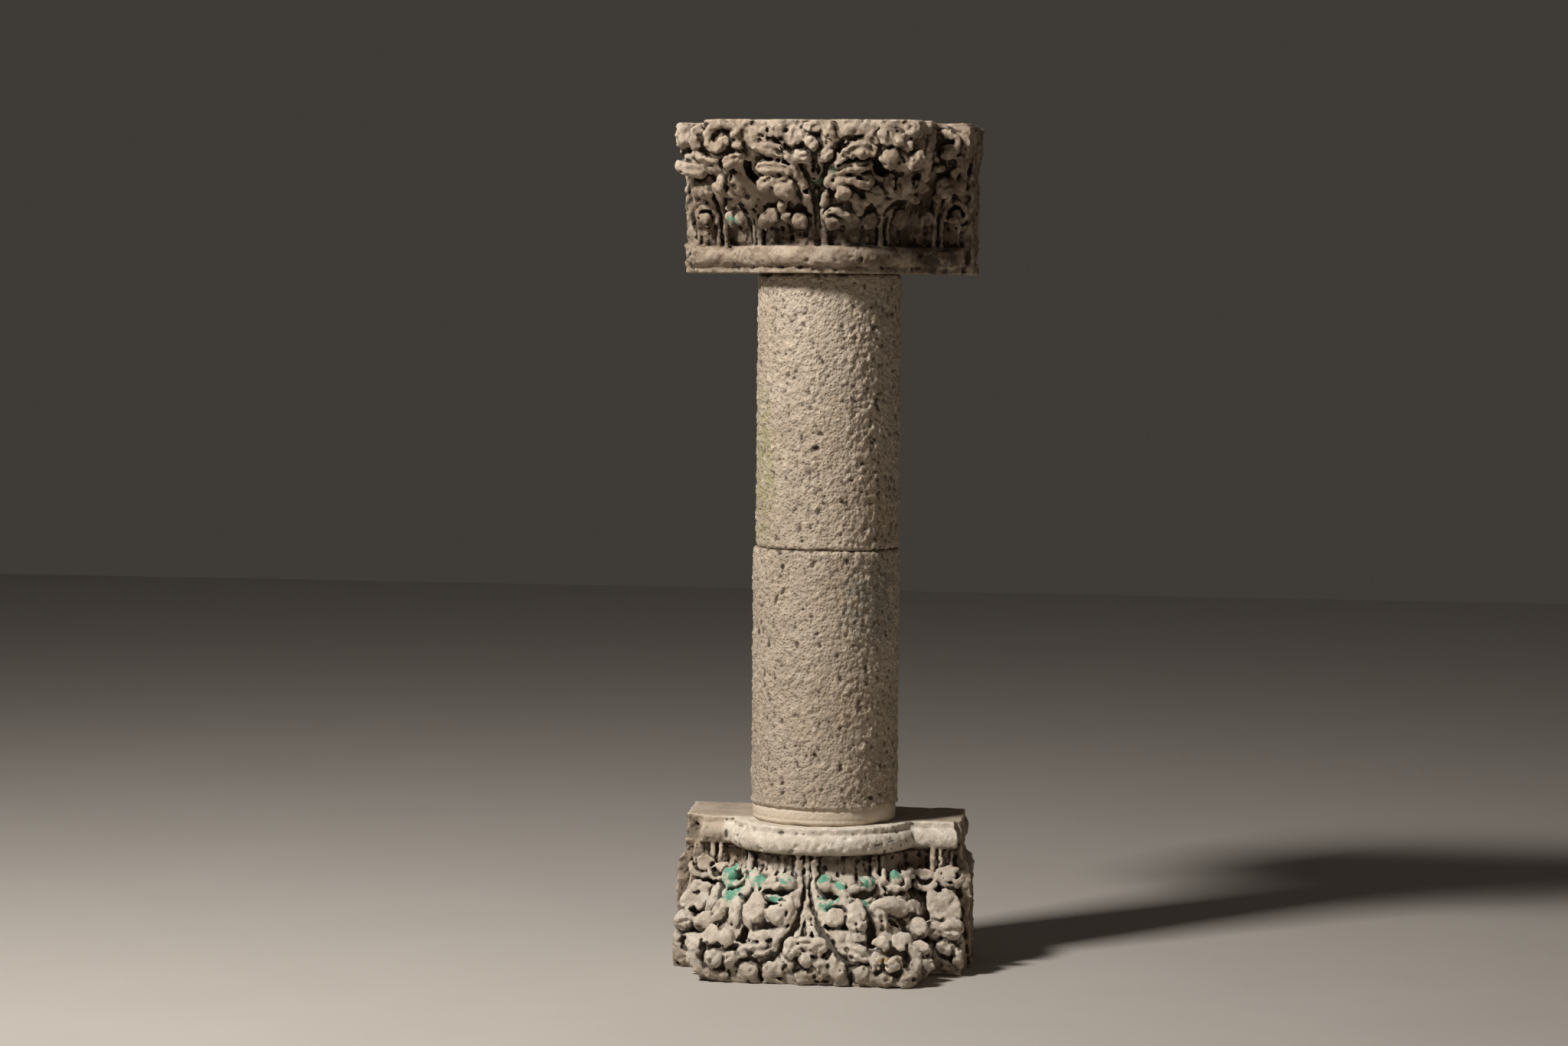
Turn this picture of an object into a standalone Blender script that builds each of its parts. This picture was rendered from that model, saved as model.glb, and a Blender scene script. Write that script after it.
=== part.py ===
"""Salvaged stone column: two drums between two engaged capitals, the lower one turned over as the base.

Metres, +Z up, the carved front towards -Y. The origin lies on the capitals' axis, on the floor.
A capital is worked out upright, from its bed at height 0 to the top of its abacus, and then placed.
"""

import math

import bmesh
import bpy
from mathutils import Euler, Matrix, Vector

# Driving dimensions of the stack
CAPITAL_HEIGHT = 0.268
LOWER_DRUM_HEIGHT = 0.493
UPPER_DRUM_HEIGHT = 0.493
LOWER_DRUM_RADIUS = 0.132
UPPER_DRUM_RADIUS = 0.129
BED_JOINT = 0.0003
LOWER_DRUM_OFFSET = 0.0005
UPPER_DRUM_OFFSET = 0.0025

# Drum edges: the worn arris and the fillet at the foot of the lower drum
ARRIS = 0.004
FOOT_FILLET_HEIGHT = 0.028
FOOT_FILLET_DEPTH = 0.0035
DRUM_SIDES = 56

# Rear slab that was built into the wall; the lower one widens towards its abacus
SLAB_HALF_WIDTH = 0.262
SLAB_DEPTH = 0.18
SLAB_NARROWING = 0.011
SLAB_STEP = (0.060, 0.092)
UPPER_SLAB_SKEW = -0.008
LOWER_SLAB_SKEW = 0.014

# Carved front: a half-round bell between two wings, growing to a squared abacus
NECK_RADIUS = 0.150
NECK_WING = 0.012
NECK_HALF_WIDTH = 0.236
ABACUS_HALF_FRONT = 0.203
ABACUS_PROJECTION = 0.232
ABACUS_WING = 0.088
ABACUS_HALF_WIDTH = 0.262
ABACUS_THICKNESS = 0.030
ABACUS_SQUARENESS = 8.0
BELL_STEPS = 18

# Astragal: a torus over a fillet
FILLET_HEIGHT = 0.012
FILLET_PROJECTION = 0.010
TORUS_HEIGHT = 0.038
TORUS_PROJECTION = 0.023
TORUS_SEAT = 0.007
TORUS_STEPS = 4

# Ornament on the bell: degrees from the middle, share of the capital's height, radius
CURL_ROW = ((10.5, 0.351, 0.0165), (18.5, 0.396, 0.012), (30.0, 0.354, 0.0155), (52.0, 0.358, 0.0165))
SIDE_TRUNK_ANGLE = 45.0
TRUNK_TOP = 0.522
TRUNK_RADIUS = 0.009
HOOD_RADIUS = 0.007

# Ornament on the wings: share of the abacus half width, share of the height, radius
WING_TRUNK = 0.775
WING_CURLS = ((0.691, 0.336, 0.014), (0.866, 0.351, 0.014))

# Flowers: how far the eyes stand in from the corners, out of the face and under the abacus top
EYE_DROP = 0.043
EYE_OUT = 0.006
FLOWER_INSET = 0.041
FLOWER_EYE_RADIUS = 0.016
FLOWER_PETALS = 5
FLOWER_REACH = 0.036
FLOWER_TURN = 12.0
WING_EYE_INSET = 0.033
WING_EYE_DROP = 0.052
FLEURON_EYE_RADIUS = 0.0125
FLEURON_PETALS = 6
FLEURON_REACH = 0.031

# Lobes on the flanks of the abacus block, between the corner flower and the wing: set back, share of height
FLANK_LOBES = ((0.036, 0.701), (0.072, 0.843), (0.112, 0.731))

# Losses: the end of one wing astragal, and the front edge of the upper abacus
STUB_LENGTH = 0.060
EDGE_LOSS = 0.012

# How finely the carving is followed
CARVING_GRAIN = 0.0035
CAPITAL_TRIANGLES = 3850
OVERRUN = 0.006
LUMP_SEGMENTS = 16
LUMP_RINGS = 10


def clear_scene():
    for obj in list(bpy.data.objects):
        bpy.data.objects.remove(obj)


def stone(name, colour, roughness=0.9):
    """A matt stone material."""
    made = bpy.data.materials.new(name)
    made.use_nodes = True
    shader = made.node_tree.nodes["Principled BSDF"]
    shader.inputs["Base Color"].default_value = (*colour, 1.0)
    shader.inputs["Roughness"].default_value = roughness
    shader.inputs["Metallic"].default_value = 0.0
    return made


def new_collection(name, shown=True):
    made = bpy.data.collections.new(name)
    made.hide_render = not shown
    bpy.context.scene.collection.children.link(made)
    return made


def ease(share):
    """0 to 1 with a soft start and a soft end."""
    share = min(max(share, 0.0), 1.0)
    return share * share * (3.0 - 2.0 * share)


def astragal_out(height):
    """How far the fillet and torus stand out from the neck."""
    if height <= FILLET_HEIGHT:
        return FILLET_PROJECTION
    across = (height - FILLET_HEIGHT) / TORUS_HEIGHT * 2.0 - 1.0
    if across >= 1.0:
        return 0.0
    return TORUS_SEAT + (TORUS_PROJECTION - TORUS_SEAT) * math.sqrt(1.0 - across * across)


def bell_shape(height):
    """(half width, projection, squareness, wing face, wing half width) of the carved front at a height."""
    neck_top = FILLET_HEIGHT + TORUS_HEIGHT
    flare = ease((height - neck_top) / (CAPITAL_HEIGHT - ABACUS_THICKNESS - neck_top)) ** 3.0
    out = astragal_out(height)
    half = NECK_RADIUS + (ABACUS_HALF_FRONT - NECK_RADIUS) * flare + out
    projection = NECK_RADIUS + (ABACUS_PROJECTION - NECK_RADIUS) * flare + out
    squareness = 2.0 + (ABACUS_SQUARENESS - 2.0) * flare
    wing = NECK_WING + (ABACUS_WING - NECK_WING) * flare + out
    wide = NECK_HALF_WIDTH + (ABACUS_HALF_WIDTH - NECK_HALF_WIDTH) * flare + out * 0.5
    return half, projection, squareness, wing, wide


def bell_point(angle, height, out=0.0):
    """A point on the bell, an angle in degrees from its middle, standing out by a distance."""
    half, projection, squareness, _, _ = bell_shape(height)
    side, front = math.sin(math.radians(angle)), math.cos(math.radians(angle))
    x = math.copysign((half + out) * abs(side) ** (2.0 / squareness), side)
    y = -(projection + out) * abs(front) ** (2.0 / squareness)
    return Vector((x, y, height))


def around(angle, rise, out=0.0):
    """A point on the bell, in degrees and a share of the capital's height."""
    return bell_point(angle, rise * CAPITAL_HEIGHT, out)


def ahead(across, rise, out=0.0):
    """A point on the bell's front, in shares of the abacus block's half width and the capital's height."""
    height = rise * CAPITAL_HEIGHT
    half, projection, squareness, _, _ = bell_shape(height)
    x = across * ABACUS_HALF_FRONT
    y = projection * (1.0 - min(abs(x) / half, 1.0) ** squareness) ** (1.0 / squareness)
    return Vector((x, -y - out, height))


def on_wing(across, rise, out=0.0):
    """A point on a wing's face, in shares of the abacus half width and of the capital's height."""
    height = rise * CAPITAL_HEIGHT
    return Vector((across * ABACUS_HALF_WIDTH, -bell_shape(height)[3] - out, height))


def slab_half_width(height, upper):
    if upper:
        return SLAB_HALF_WIDTH
    low, high = SLAB_STEP
    return SLAB_HALF_WIDTH + SLAB_NARROWING * (2.0 * ease((height - low) / (high - low)) - 1.0) * 0.75


def outline(height, level, upper):
    """The plan of the whole block at a height, drawn at a level, from its right rear corner round."""
    half, projection, squareness, wing, wide = bell_shape(height)
    slab = max(slab_half_width(height, upper), wide + 0.0015)
    last = math.degrees(math.acos((wing / projection) ** (squareness / 2.0)))
    skew = UPPER_SLAB_SKEW if upper else LOWER_SLAB_SKEW
    rear = SLAB_DEPTH + OVERRUN
    right = [(slab + skew, rear), (slab, 0.0), (wide, 0.0), (wide, -wing)]
    arc = []
    for step in range(BELL_STEPS + 1):
        arc.append(bell_point(last * (1.0 - 2.0 * step / BELL_STEPS), height).xy)
    left = [(-wide, -wing), (-wide, 0.0), (-slab, 0.0), (-slab + skew, rear)]
    return [Vector((x, y, level)) for x, y in [*right, *arc, *left]]


def ring_heights():
    """Heights of the sections that the block is lofted through."""
    neck_top = FILLET_HEIGHT + TORUS_HEIGHT
    heights = [0.0, FILLET_HEIGHT - 0.0005]
    for step in range(TORUS_STEPS + 1):
        heights.append(FILLET_HEIGHT + TORUS_HEIGHT * (0.03 + 0.94 * step / TORUS_STEPS))
    heights.append(neck_top + 0.0005)
    abacus = CAPITAL_HEIGHT - ABACUS_THICKNESS
    for share in (0.15, 0.3, 0.45, 0.6, 0.7, 0.8, 0.9, 1.0):
        heights.append(neck_top + (abacus - neck_top) * share)
    heights.append(CAPITAL_HEIGHT)
    return heights


def add_block(bm, upper):
    """The uncarved stone as one loft, a little over its length: slab, bell, wings, astragal and abacus."""
    heights = ring_heights()
    levels = [heights[0] - OVERRUN, *heights[1:-1], heights[-1] + OVERRUN]
    rings = []
    for height, level in zip(heights, levels):
        rings.append([bm.verts.new(point) for point in outline(height, level, upper)])
    for low, high in zip(rings, rings[1:]):
        for i, vert in enumerate(low):
            after = (i + 1) % len(low)
            bm.faces.new((vert, low[after], high[after], high[i]))
    bm.faces.new(rings[0])
    bm.faces.new(rings[-1])


def lump(place, size, turn=(0.0, 0.0, 0.0)):
    """A rounded lump of carving: a sphere stretched to half sizes, turned by degrees, as a description."""
    return Vector(place), Vector(size), Euler([math.radians(a) for a in turn]).to_matrix().to_4x4()


def add_part(bm, part):
    """Moves a small finished bmesh into a larger one."""
    mesh = bpy.data.meshes.new("part")
    part.to_mesh(mesh)
    part.free()
    bm.from_mesh(mesh)
    bpy.data.meshes.remove(mesh)


def add_lump(bm, described):
    place, size, turn = described
    part = bmesh.new()
    matrix = Matrix.Translation(place) @ turn @ Matrix.Diagonal((*size, 1.0))
    bmesh.ops.create_uvsphere(part, u_segments=LUMP_SEGMENTS, v_segments=LUMP_RINGS, radius=1.0,
                              matrix=matrix)
    add_part(bm, part)


def add_stalk(bm, points, radii):
    """A tapering round stalk along points: a cone for each length, and a ball at each bend."""
    for place, radius in zip(points, radii):
        add_lump(bm, lump(place, (radius,) * 3))
    for k in range(len(points) - 1):
        run = points[k + 1] - points[k]
        turn = run.to_track_quat("Z", "Y").to_matrix().to_4x4()
        matrix = Matrix.Translation((points[k] + points[k + 1]) / 2.0) @ turn
        part = bmesh.new()
        bmesh.ops.create_cone(part, cap_ends=True, segments=LUMP_SEGMENTS, radius1=radii[k],
                              radius2=radii[k + 1], depth=run.length, matrix=matrix)
        add_part(bm, part)


def inward(place):
    """The direction from a place on the carving back into the stone."""
    return Vector((-place.x * 0.5, -place.y, 0.0)).normalized()


def set_back(points, radii):
    """A stalk's points moved in towards the stone, so that a second stalk leaves no gap behind the first."""
    return [point + inward(point) * radius * 1.3 for point, radius in zip(points, radii)]


def both_sides(described):
    """A lump and its mirror image across the middle."""
    place, size, turn = described
    flip = Matrix.Diagonal((-1.0, 1.0, 1.0, 1.0))
    return [described, (Vector((-place.x, place.y, place.z)), size, flip @ turn @ flip)]


def curl_lumps():
    """The row of small curled leaf tips above the astragal, on the bell and on the wings."""
    made = []
    for angle, rise, radius in CURL_ROW:
        made += both_sides(lump(around(angle, rise, radius * 0.9), (radius,) * 3))
    for across, rise, radius in WING_CURLS:
        made += both_sides(lump(on_wing(across, rise, radius * 0.9), (radius,) * 3))
    return made


def middle_leaf_lumps():
    """The big leaf on each side of the middle: its blade, its second curl and its lobes to the abacus."""
    lobes = (
        (ahead(0.305, 0.608, 0.015), (0.032, 0.022, 0.040), (0, 25, 20)),
        (ahead(0.374, 0.776, 0.001), (0.030, 0.019, 0.036), (0, 30, 14)),
        (around(19.0, 0.451, 0.006), (0.030, 0.016, 0.015), (0, 0, 19)),
        (ahead(0.246, 0.560, 0.042), (0.0185, 0.018, 0.0185), (0, 0, 0)),
        (ahead(0.443, 0.578, 0.030), (0.018, 0.020, 0.014), (0, 10, 24)),
        (ahead(0.443, 0.687, 0.024), (0.027, 0.020, 0.0125), (0, -12, 22)),
        (ahead(0.473, 0.791, 0.006), (0.027, 0.018, 0.0125), (0, -18, 15)),
        (ahead(0.517, 0.922, -0.003), (0.0215, 0.020, 0.020), (0, 0, 10)),
        (ahead(0.320, 0.914, -0.002), (0.0175, 0.018, 0.021), (0, 20, 0)),
    )
    return [one for lobe in lobes for one in both_sides(lump(*lobe))]


def side_leaf_lumps():
    """The leaves that the side trunks and the wing trunks carry, with their tips."""
    lobes = (
        (around(45.0, 0.507, 0.006), (0.036, 0.020, 0.026), (0, 0, 45)),
        (around(38.0, 0.604, 0.024), (0.018, 0.018, 0.022), (0, 15, 38)),
        (around(52.0, 0.590, 0.026), (0.019, 0.019, 0.022), (0, -10, 52)),
        (around(74.0, 0.560, 0.018), (0.018, 0.022, 0.020), (0, 0, 70)),
        (around(45.0, 0.694, 0.004), (0.030, 0.020, 0.022), (0, 0, 45)),
        (on_wing(0.809, 0.485, 0.002), (0.034, 0.016, 0.022), (0, 0, 0)),
        (on_wing(0.870, 0.567, 0.018), (0.020, 0.020, 0.020), (0, 0, 0)),
        (on_wing(0.748, 0.567, 0.014), (0.016, 0.018, 0.018), (0, 0, 0)),
        (on_wing(0.809, 0.679, 0.002), (0.030, 0.020, 0.020), (0, 0, 0)),
    )
    return [one for lobe in lobes for one in both_sides(lump(*lobe))]


def flower(eye, eye_radius, reach, petals, petal_size, start, facing=0.0):
    """An eye ringed by petals, on a face that is turned by degrees from the front."""
    made = [lump(eye, (eye_radius, eye_radius * 1.15, eye_radius), (0, 0, facing))]
    across = Vector((math.cos(math.radians(facing)), math.sin(math.radians(facing)), 0.0))
    for k in range(petals):
        angle = math.radians(start + 360.0 * k / petals)
        place = Vector(eye) + across * (reach * math.cos(angle)) + Vector((0, 0, reach * math.sin(angle)))
        inward = Vector((-across.y, across.x, 0.0)) * 0.010
        made.append(lump(place + inward, petal_size, (0, -math.degrees(angle), facing)))
    return made


def flower_lumps():
    """The corner flowers, the flowers on the wings and the fleuron in the middle of the abacus."""
    height = CAPITAL_HEIGHT - EYE_DROP
    x = ABACUS_HALF_FRONT - FLOWER_INSET
    out = ABACUS_PROJECTION + EYE_OUT
    wing_x = ABACUS_HALF_WIDTH - WING_EYE_INSET
    wing_out = ABACUS_WING + EYE_OUT
    wing_height = CAPITAL_HEIGHT - WING_EYE_DROP
    made = []
    for side in (-1, 1):
        turn = side * FLOWER_TURN
        made.append(lump((side * x, -out + 0.020, height), (0.040, 0.016, 0.040), (0, 0, turn)))
        made += flower((side * x, -out, height), FLOWER_EYE_RADIUS, FLOWER_REACH, FLOWER_PETALS,
                       (0.0195, 0.020, 0.0175), 90.0 + side * 18.0, turn)
        made.append(lump((side * wing_x, -wing_out + 0.012, wing_height), (0.036, 0.016, 0.040)))
        made += flower((side * wing_x, -wing_out, wing_height), FLOWER_EYE_RADIUS, FLOWER_REACH * 0.85, 4,
                       (0.018, 0.018, 0.018), 45.0, turn)
        for back, rise in FLANK_LOBES:
            place = (side * (ABACUS_HALF_FRONT - 0.006), -ABACUS_PROJECTION + back, rise * CAPITAL_HEIGHT)
            made.append(lump(place, (0.016, 0.024, 0.024)))
    made.append(lump((0.0, -out + 0.015, height + 0.004), (0.040, 0.014, 0.038)))
    made += flower((0.0, -out - 0.003, height), FLEURON_EYE_RADIUS, FLEURON_REACH, FLEURON_PETALS,
                   (0.0155, 0.016, 0.013), 30.0)
    return made


def trunks():
    """Stalks as (points, radii): the middle stem and its fork, the big ribs, the side and wing trunks."""
    base = (FILLET_HEIGHT + TORUS_HEIGHT - 0.006) / CAPITAL_HEIGHT
    fork = around(0, TRUNK_TOP, 0.012)
    made = [([around(0, base, 0.002), around(0, 0.373, 0.006), fork], [0.006, 0.006, 0.007])]
    widening = [TRUNK_RADIUS, TRUNK_RADIUS, TRUNK_RADIUS * 1.4, TRUNK_RADIUS * 2.0]
    for side in (-1, 1):
        made.append(([fork, ahead(side * 0.059, 0.627, 0.014), ahead(side * 0.074, 0.716, 0.019)],
                     [0.006, 0.007, 0.009]))
        rib = [around(side * 5.5, base, 0.003), around(side * 6.0, 0.373, 0.008),
               ahead(side * 0.138, 0.504, 0.017), ahead(side * 0.207, 0.642, 0.013),
               ahead(side * 0.305, 0.765, 0.002), ahead(side * 0.394, 0.866, -0.004)]
        made.append((rib, [0.007, 0.008, 0.011, 0.013, 0.014, 0.014]))
        trunk = []
        for rise, out in ((base, 0.002), (0.354, 0.006), (0.466, 0.014), (TRUNK_TOP + 0.045, 0.026)):
            trunk.append(around(side * SIDE_TRUNK_ANGLE, rise, out))
        made.append((trunk, widening))
        wing = []
        for rise, out in ((base, 0.001), (0.354, 0.006), (0.485, 0.014), (TRUNK_TOP + 0.056, 0.020)):
            wing.append(on_wing(side * WING_TRUNK, rise, out))
        made.append((wing, [radius * 0.9 for radius in widening]))
    return made


def hoods():
    """The arched leaf edges from each trunk over the curls beside it, as (points, radii)."""
    reaches = ((5.5, 10.5), (SIDE_TRUNK_ANGLE, 30.0), (SIDE_TRUNK_ANGLE, 52.0))
    made = []
    for side in (-1, 1):
        for trunk, curl in reaches:
            over = curl + (curl - trunk) * 0.35
            path = [around(side * trunk, 0.366, 0.008),
                    around(side * (trunk * 0.55 + curl * 0.45), 0.459, 0.018),
                    around(side * over, 0.440, 0.024)]
            made.append((path, [HOOD_RADIUS, HOOD_RADIUS * 1.3, HOOD_RADIUS]))
        for curl, _, _ in WING_CURLS:
            path = [on_wing(side * WING_TRUNK, 0.343, 0.006),
                    on_wing(side * (WING_TRUNK * 0.5 + curl * 0.5), 0.437, 0.014),
                    on_wing(side * curl, 0.422, 0.018)]
            made.append((path, [HOOD_RADIUS] * 3))
    return made


def losses(upper):
    """Lumps of stone that have broken away, as descriptions."""
    if upper:
        made = []
        for across in (-0.42, 0.345):
            place = (across * ABACUS_HALF_FRONT, -(ABACUS_PROJECTION + 0.020), CAPITAL_HEIGHT + 0.006)
            made.append(lump(place, (0.045, 0.030, EDGE_LOSS + 0.012)))
        return made
    edge = NECK_HALF_WIDTH + 0.008
    middle = FILLET_HEIGHT + TORUS_HEIGHT * 0.5
    return [lump((edge - STUB_LENGTH * 0.2, -(NECK_WING + TORUS_PROJECTION + 0.010), middle),
                 (STUB_LENGTH * 0.6, 0.022, TORUS_HEIGHT * 0.75), (0, 12, 8))]


def closed_mesh(bm, name):
    mesh = bpy.data.meshes.new(name)
    bmesh.ops.recalc_face_normals(bm, faces=bm.faces)
    bm.to_mesh(mesh)
    bm.free()
    return mesh


def cutter(name, bm, collection):
    """A closed solid that is only used to cut, kept apart and drawn as wire."""
    obj = bpy.data.objects.new(name, closed_mesh(bm, name))
    obj.hide_render = True
    obj.display_type = "WIRE"
    collection.objects.link(obj)
    return obj


def bounding_cutter(name, collection):
    """A box that trims the stone flat at its bed, its abacus top and its back."""
    bm = bmesh.new()
    reach = 2.0 * (ABACUS_HALF_WIDTH + 0.1)
    front = ABACUS_PROJECTION + 0.1
    size = Matrix.Diagonal((reach, front + SLAB_DEPTH, CAPITAL_HEIGHT, 1.0))
    middle = Matrix.Translation((0.0, (SLAB_DEPTH - front) / 2.0, CAPITAL_HEIGHT / 2.0))
    bmesh.ops.create_cube(bm, size=1.0, matrix=middle @ size)
    return cutter(name, bm, collection)


def losses_cutter(name, upper, collection):
    bm = bmesh.new()
    for described in losses(upper):
        add_lump(bm, described)
    return cutter(name, bm, collection)


def triangle_count(obj):
    graph = bpy.context.evaluated_depsgraph_get()
    graph.update()
    mesh = bpy.data.meshes.new_from_object(obj.evaluated_get(graph))
    count = sum(len(face.vertices) - 2 for face in mesh.polygons)
    bpy.data.meshes.remove(mesh)
    return count


def capital(name, collection, cutters, material, upper, height):
    """One capital: the block and its carving made one skin, simplified, and trimmed to its beds."""
    bm = bmesh.new()
    add_block(bm, upper)
    for place, size, turn in curl_lumps() + middle_leaf_lumps() + side_leaf_lumps() + flower_lumps():
        add_lump(bm, (place, size, turn))
        add_lump(bm, (place + inward(place) * size.y * 0.9, size, turn))
    for points, radii in trunks() + hoods():
        add_stalk(bm, points, radii)
        add_stalk(bm, set_back(points, radii), radii)
    obj = bpy.data.objects.new(name, closed_mesh(bm, name))
    collection.objects.link(obj)
    skin = obj.modifiers.new("skin", "REMESH")
    skin.mode = "VOXEL"
    skin.voxel_size = CARVING_GRAIN
    ratio = CAPITAL_TRIANGLES / triangle_count(obj)
    simpler = obj.modifiers.new("simpler", "DECIMATE")
    simpler.ratio = ratio
    placed = Matrix.Translation((0, 0, height))
    if not upper:
        placed = Matrix.Translation((0, 0, height + CAPITAL_HEIGHT)) @ Matrix.Rotation(math.pi, 4, "Y")
    for operation, tool in (("INTERSECT", bounding_cutter(name + "_beds", cutters)),
                            ("DIFFERENCE", losses_cutter(name + "_losses", upper, cutters))):
        cut = obj.modifiers.new(operation.lower(), "BOOLEAN")
        cut.operation = operation
        cut.object = tool
        cut.solver = "EXACT"
        tool.matrix_world = placed
    obj.matrix_world = placed
    obj.data.materials.append(material)
    return obj


def drum(name, collection, material, radius, bottom, height, offset, footed):
    """One drum of the shaft, turned from its profile, with worn edges."""
    outside = [(radius - ARRIS, height), (radius - ARRIS * 0.3, height - ARRIS * 0.35)]
    outside.append((radius, height - ARRIS * 1.5))
    if footed:
        outside.append((radius, FOOT_FILLET_HEIGHT + 0.004))
        outside.append((radius - FOOT_FILLET_DEPTH, FOOT_FILLET_HEIGHT - 0.002))
        radius -= FOOT_FILLET_DEPTH * 0.5
    outside += [(radius, ARRIS * 1.5), (radius - ARRIS * 0.3, ARRIS * 0.35), (radius - ARRIS, 0.0)]
    profile = [(0.0, height), *outside, (0.0, 0.0)]
    bm = bmesh.new()
    verts = [bm.verts.new((x, 0.0, z)) for x, z in profile]
    for low, high in zip(verts, verts[1:]):
        bm.edges.new((low, high))
    mesh = bpy.data.meshes.new(name)
    bm.to_mesh(mesh)
    bm.free()
    made = bpy.data.objects.new(name, mesh)
    collection.objects.link(made)
    made.location = (offset, 0.0, bottom)
    screw = made.modifiers.new("turned", "SCREW")
    screw.steps = DRUM_SIDES
    screw.render_steps = DRUM_SIDES
    screw.use_merge_vertices = True
    screw.merge_threshold = 0.0001
    screw.use_smooth_shade = True
    made.data.materials.append(material)
    return made


def main():
    clear_scene()
    column = new_collection("stone_column")
    cutters = new_collection("cutters", shown=False)
    aged = stone("aged_limestone", (0.46, 0.40, 0.33))
    shaft = stone("tooled_limestone", (0.54, 0.49, 0.42))
    level = 0.0
    capital("lower_capital", column, cutters, aged, False, level)
    level += CAPITAL_HEIGHT + BED_JOINT
    drum("lower_drum", column, shaft, LOWER_DRUM_RADIUS, level, LOWER_DRUM_HEIGHT, LOWER_DRUM_OFFSET, True)
    level += LOWER_DRUM_HEIGHT + BED_JOINT
    drum("upper_drum", column, shaft, UPPER_DRUM_RADIUS, level, UPPER_DRUM_HEIGHT, UPPER_DRUM_OFFSET, False)
    level += UPPER_DRUM_HEIGHT + BED_JOINT
    capital("upper_capital", column, cutters, aged, True, level)


main()
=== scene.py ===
"""Looks of the salvaged stone column: carved, weathered and dirty stones, with painted shade and painted
highlights, over the plain CAD solids.

A capital is carved in millimetres from its bed: x to the right, v out of the front, h up from the bed.
The lower capital is the same pattern turned over, so its h runs down from its bed to the floor.
"""

import math

import bmesh
import bpy
import numpy as np
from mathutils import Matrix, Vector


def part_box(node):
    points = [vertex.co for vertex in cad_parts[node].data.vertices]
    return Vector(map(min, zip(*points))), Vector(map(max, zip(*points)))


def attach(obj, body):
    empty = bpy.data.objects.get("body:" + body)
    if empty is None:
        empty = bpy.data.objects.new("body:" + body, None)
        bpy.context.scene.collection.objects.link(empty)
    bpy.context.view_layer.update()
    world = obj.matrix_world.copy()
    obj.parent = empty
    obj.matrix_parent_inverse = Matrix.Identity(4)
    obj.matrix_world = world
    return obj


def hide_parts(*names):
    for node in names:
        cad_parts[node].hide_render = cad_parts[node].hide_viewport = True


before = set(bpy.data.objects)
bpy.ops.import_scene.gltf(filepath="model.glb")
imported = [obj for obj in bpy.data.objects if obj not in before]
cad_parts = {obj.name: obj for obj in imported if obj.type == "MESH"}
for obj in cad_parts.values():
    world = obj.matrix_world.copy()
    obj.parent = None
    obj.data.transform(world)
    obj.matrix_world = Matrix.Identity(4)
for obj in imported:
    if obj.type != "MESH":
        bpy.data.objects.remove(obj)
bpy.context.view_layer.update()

import openvdb
from mathutils import Matrix, Vector

MM = 0.001

# Capital, as in the solids: the bell, its wings, the slab behind, and the astragal at the neck
HEIGHT = (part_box("upper_capital")[1][2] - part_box("upper_capital")[0][2]) / MM
NECK_RADIUS = 150.0
NECK_WING = 12.0
NECK_HALF_WIDTH = 236.0
ABACUS_HALF_FRONT = 203.0
ABACUS_PROJECTION = 232.0
ABACUS_WING = 88.0
ABACUS_HALF_WIDTH = 262.0
ABACUS_THICKNESS = 30.0
ABACUS_SQUARENESS = 8.0
SLAB_HALF_WIDTH = 262.0
SLAB_DEPTH = 180.0
SLAB_NARROWING = 8.25
SLAB_STEP = (60.0, 92.0)
UPPER_SKEW = -8.0
LOWER_SKEW = -14.0
FILLET_HEIGHT = 12.0
FILLET_PROJECTION = 10.0
TORUS_HEIGHT = 38.0
TORUS_PROJECTION = 23.0
TORUS_SEAT = 7.0
NECK_TOP = FILLET_HEIGHT + TORUS_HEIGHT

# The mass of leaves in front of the bell, from which the tongues are cut
MASS_FOOT = 78.0
MASS_TOP = 226.0
MASS_FOOT_RADIUS = 148.0
MASS_HALF_WIDTH = 190.0
MASS_PROJECTION = 222.0
MASS_WING = 78.0
MASS_HALF_SPAN = 250.0
FACE_RELIEF = (34.0, 48.0)
FLOWER_RELIEF = 18.0

# Drums, as in the solids
ARRIS = 4.0
FOOT_BAND = 28.0
FOOT_DEPTH = 3.5
FOOT_RINGS = ((FOOT_BAND, -2.6, 2.2), (FOOT_BAND + 5.5, 1.2, 2.4), (9.0, -1.4, 1.8))

# How finely the stones are modelled
GRAIN = 2.0
CAPITAL_FACES = 190000
DRUM_STEP = 2.4

# Worn skin of the capitals: the sizes of its lumps, and how deep each kind of wear goes
WEAR_SIZES = (15.0, 7.5, 4.2)
COARSE_WEAR = 0.60
MEDIUM_WEAR = 0.74
FINE_WEAR = 0.68
PICK_SIZES = (19.0, 16.0, 12.0)
PICK_DEPTH = 3.0
CREASE_DEPTH = 1.1
PIT_DEPTH = 1.6
BACK_ROUGHNESS = 1.6

# Stone colours: clean, warm, grey, and the dark colour painted into its hollows, part grime and part painted
# shade
AGED_PALETTE = ((0.540, 0.455, 0.360), (0.440, 0.345, 0.250), (0.310, 0.255, 0.200), (0.036, 0.025, 0.017))
SHAFT_PALETTE = ((0.492, 0.412, 0.326), (0.425, 0.340, 0.250), (0.340, 0.284, 0.222), (0.075, 0.053, 0.037))
TOOTH_MARKS = 165.0
FLOOR_FILM = (0.235, 0.205, 0.165)
# Brown patina, also laid over sides and parts away from the light as painted shade
PATINA_AND_SHADE = (0.168, 0.118, 0.080)
# Dark band on the bell by the astragal, under the leaves: part grime, part painted shade
NECK_GRIME_AND_SHADE = (0.070, 0.050, 0.034)
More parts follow.
